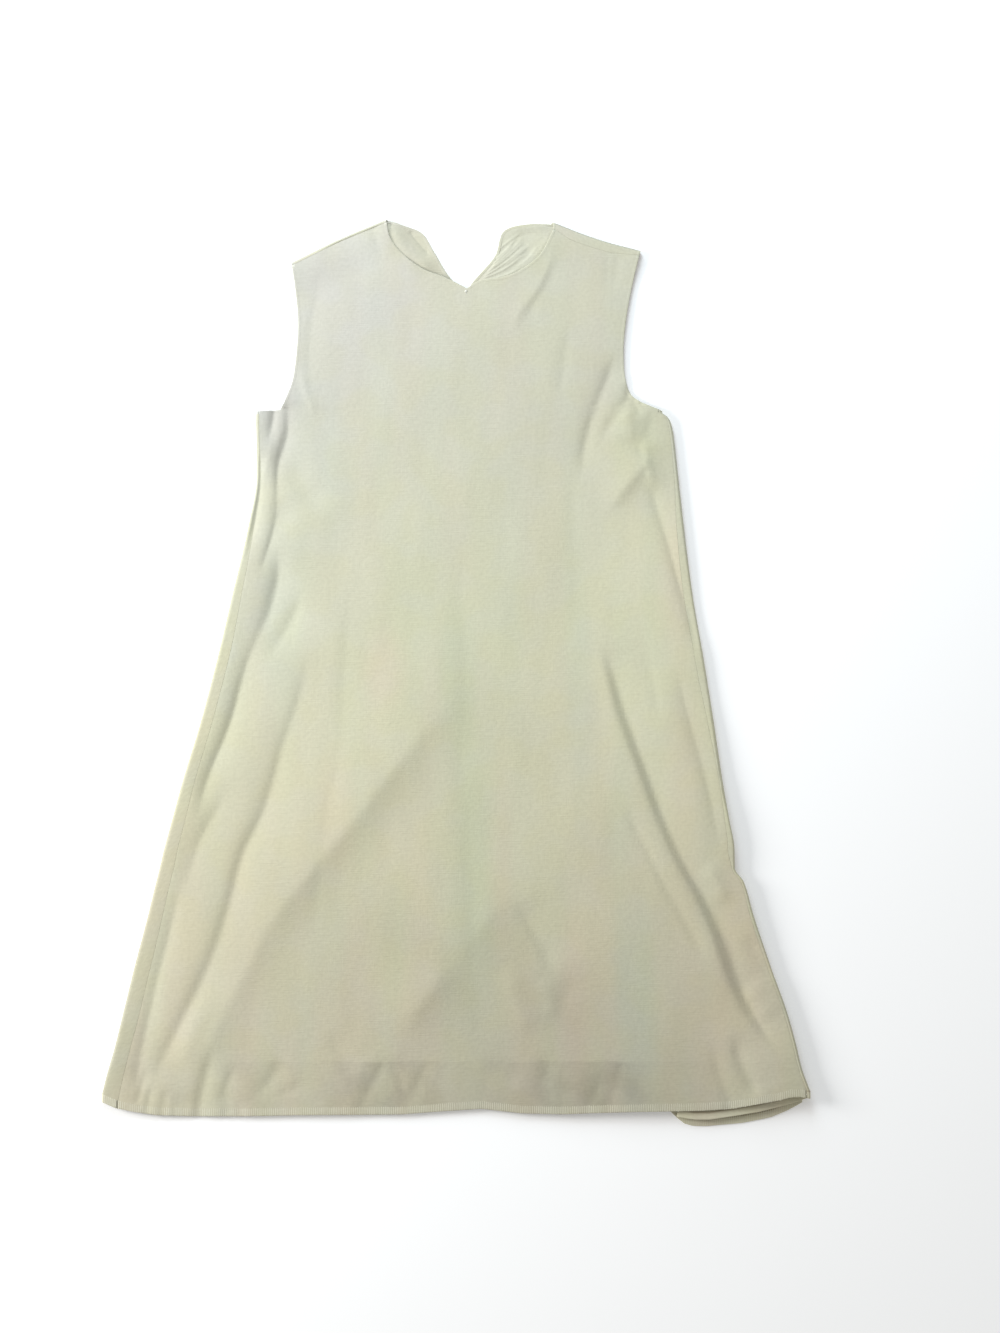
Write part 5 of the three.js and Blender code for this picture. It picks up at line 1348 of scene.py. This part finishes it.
UP = (0, 1)
back_binding(
    "armhole_binding_back_left",
    lambda distance: inset_arm_left(back_arm_left, distance),
    carried_over(back_body[-1, :turned], UP),
    carried_over(left_shoulder[1:, 0], ALONG_LEFT),
    bias_finish,
)
back_binding(
    "armhole_binding_back_right",
    lambda distance: inset_arm_right(back_arm_right, distance),
    carried_over(back_body[-1, : -turned - 1 : -1], UP),
    carried_over(right_shoulder[1:, -1], ALONG_RIGHT),
    bias_finish,
)
back_binding(
    "neck_binding_back_left",
    lambda distance: moved(back_neck_left, distance, ALONG_LEFT)[:-1],
    carried_over(left_shoulder[:0:-1, -1], -ALONG_LEFT),
    None,
    bias_finish,
)
back_binding(
    "neck_binding_back_right",
    lambda distance: moved(back_neck_right, distance, None, ALONG_RIGHT)[1:],
    None,
    carried_over(right_shoulder[1:, 0], -ALONG_RIGHT),
    bias_finish,
)

# ---------------------------------------------------------------------------------------------
# The hem edges
# ---------------------------------------------------------------------------------------------
# The bottom of each panel isn't turned up. It is overlocked: the raw edge is closed up into a
# narrow flat roll, and pale threads loop around it every couple of millimetres.

HEM_WIDTH = 7
HEM_WALL = 0.84
HEM_OVERLAP = 1.2
BACK_HEM_LIFT = 0.17
STITCH_PITCH = 2.05
STITCH_WIDTH = 0.7
STITCH_RISE = 0.08
HEM_FLATNESS = 0.35
LOOP = np.radians(np.linspace(28, 332, 13))


def at_lengths(places, length, values):
    """The rows of values along a line at the given lengths of it."""
    return np.stack([np.interp(places, length, column) for column in values.T], axis=1)


def overlocking(inner, outer, up, last):
    """The mesh of the threads around an edge, up to its last given point."""
    middle, half = (inner + outer) / 2, (outer - inner) / 2
    length = np.concatenate(([0], np.cumsum(np.linalg.norm(np.diff(middle, axis=0), axis=1)))) / MM
    places = np.arange(STITCH_PITCH, length[last] - STITCH_PITCH / 2, STITCH_PITCH)
    number = np.arange(len(places))
    places = places + 0.3 * np.sin(5.3 * number) + 0.25 * np.sin(12.9 * number)
    reaches = 1 + 0.05 * np.sin(2.4 * number) + 0.04 * np.sin(1.1 * number)
    along = at_lengths(places, length, np.gradient(middle, length, axis=0))
    along /= np.linalg.norm(along, axis=1)[:, None]
    across = np.sign(np.cos(LOOP)) * np.abs(np.cos(LOOP)) ** HEM_FLATNESS
    lift = np.sign(np.sin(LOOP)) * np.abs(np.sin(LOOP)) ** HEM_FLATNESS
    across, lift = across[:, None, None], lift[:, None, None]
    sides = np.array((-0.5, 0, 0.5)) * STITCH_WIDTH * MM
    slant = STITCH_WIDTH * 0.45 * np.cos(LOOP) * MM
    rise = np.array((-0.05, STITCH_RISE, -0.05))[None, :, None] * MM
    bm = new_cloth_mesh()
    stitches = (at_lengths(places, length, values) for values in (middle, half, up))
    for centre, reach, normal, way, wobble in zip(*stitches, along, reaches):
        out = reach * across * wobble + normal * lift * HEM_WALL * MM / 2
        around = out / np.linalg.norm(out, axis=2)[..., None]
        outward = np.where(np.abs(lift) > 0.3, normal * np.sign(lift), around)
        points = centre + out + outward * rise + way * (sides + slant[:, None])[..., None]
        woven_grid(bm, points, points - in_place(0, 0, 0))
    return bm


def stitched_edge(name, inner, outer, finish, thread_finish, last=-1):
    """The overlocked edge of one panel, and the threads on it up to the last given point."""
    bm = new_cloth_mesh()
    up = rolled_edge(bm, inner, outer, HEM_WALL, HEM_FLATNESS)
    edge = cloth_object(name + "_cloth", bm, finish, thickness=0)
    bm = overlocking(inner, outer, up, last)
    threads = cloth_object(name + "_threads", bm, thread_finish, thickness=0)
    for piece in (edge, threads):
        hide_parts(name)


def hem_lines(row, settle):
    """The upper and lower line of a hem edge below a panel's lowest row."""
    return [settle(row, distance) for distance in (-HEM_OVERLAP, SEAM_GAP + HEM_WIDTH)]


def settled_on_front(row, distance):
    """A line of the front's hem edge, moved down from the panel's lowest row."""
    return edge_on_front(row - (0, distance))


def let_down(row, distance):
    """The same for the back's, at the heights of its own row."""
    return row - np.array((0, distance, -BACK_HEM_LIFT)) * MM


hem_finish = crepe("overlocked_crepe", hem_band=False, shade=0.95)
# The back's hem edge has painted light on its tuck and painted shade along its edge under the front's hem.
under_finish = crepe("overlocked_under_crepe", hem_band=False, shade=0.95, gap_shaded=True)
thread_finish = Finish("overlock_thread", Sheen_Weight=0.3, Specular_IOR_Level=0.3)
twist = thread_finish.noise(thread_finish.cloth_place(), 40)
thread_tone = thread_finish.between(twist, (0.64, 0.62, 0.48), (0.78, 0.76, 0.64))
thread_finish.wear(Base_Color=thread_tone, Roughness=0.7 + twist * 0.1)

# The front's hem edge goes on a little past both ends of the panel's lowest row, over the seams.
front_hem_row = body[0].copy()
front_hem_row[[0, -1], 0] += (-7 * SEAM_GAP, 2 * SEAM_GAP)
front_lines = hem_lines(front_hem_row, settled_on_front)
back_lines = hem_lines(back_body[0], let_down)
tuck_begins = turned + len(LEFT_PARTS)
stitched_edge("hem_edge_front", *front_lines, hem_finish, thread_finish.material)
stitched_edge("hem_edge_back", *back_lines, under_finish, thread_finish.material, last=tuck_begins)

# ---------------------------------------------------------------------------------------------
# The bead at the notch
# ---------------------------------------------------------------------------------------------
# A tiny off-white bead closes the point of the front neckline. It is sewn on with a knotted thread
# that shows as a smaller dot below it, and both are pulled well into the cloth.

BEAD = (10, 874.4)
KNOT = (10.2, 872.1)
BEAD_RADIUS = 1.5
KNOT_RADIUS = 0.6
BEAD_FLATNESS = 0.35
bead_z = float(front_height(*BEAD)) + CLOTH / 2
bm = bmesh.new()
for (x, y), radius in ((BEAD, BEAD_RADIUS), (KNOT, KNOT_RADIUS)):
    ball = bmesh.ops.create_uvsphere(bm, u_segments=24, v_segments=16, radius=radius * MM)["verts"]
    bmesh.ops.scale(bm, vec=(1, 1, BEAD_FLATNESS), verts=ball)
    bmesh.ops.translate(bm, vec=Vector(in_place(x, y, bead_z)), verts=ball)
bead_finish = Finish("bead_gloss", Coat_Weight=0.1, Coat_Roughness=0.3)
pearl = bead_finish.add("ShaderNodeTexCoord", {}, {}, out="Object")
cloud = bead_finish.noise(pearl, 700)
bead_tone = bead_finish.between(cloud, (0.58, 0.57, 0.49), (0.66, 0.65, 0.57))
bead_finish.wear(Base_Color=bead_tone, Roughness=0.45 + cloud * 0.15)
bead = cloth_object("notch_bead_shell", bm, bead_finish.material, thickness=0)
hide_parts("notch_bead")
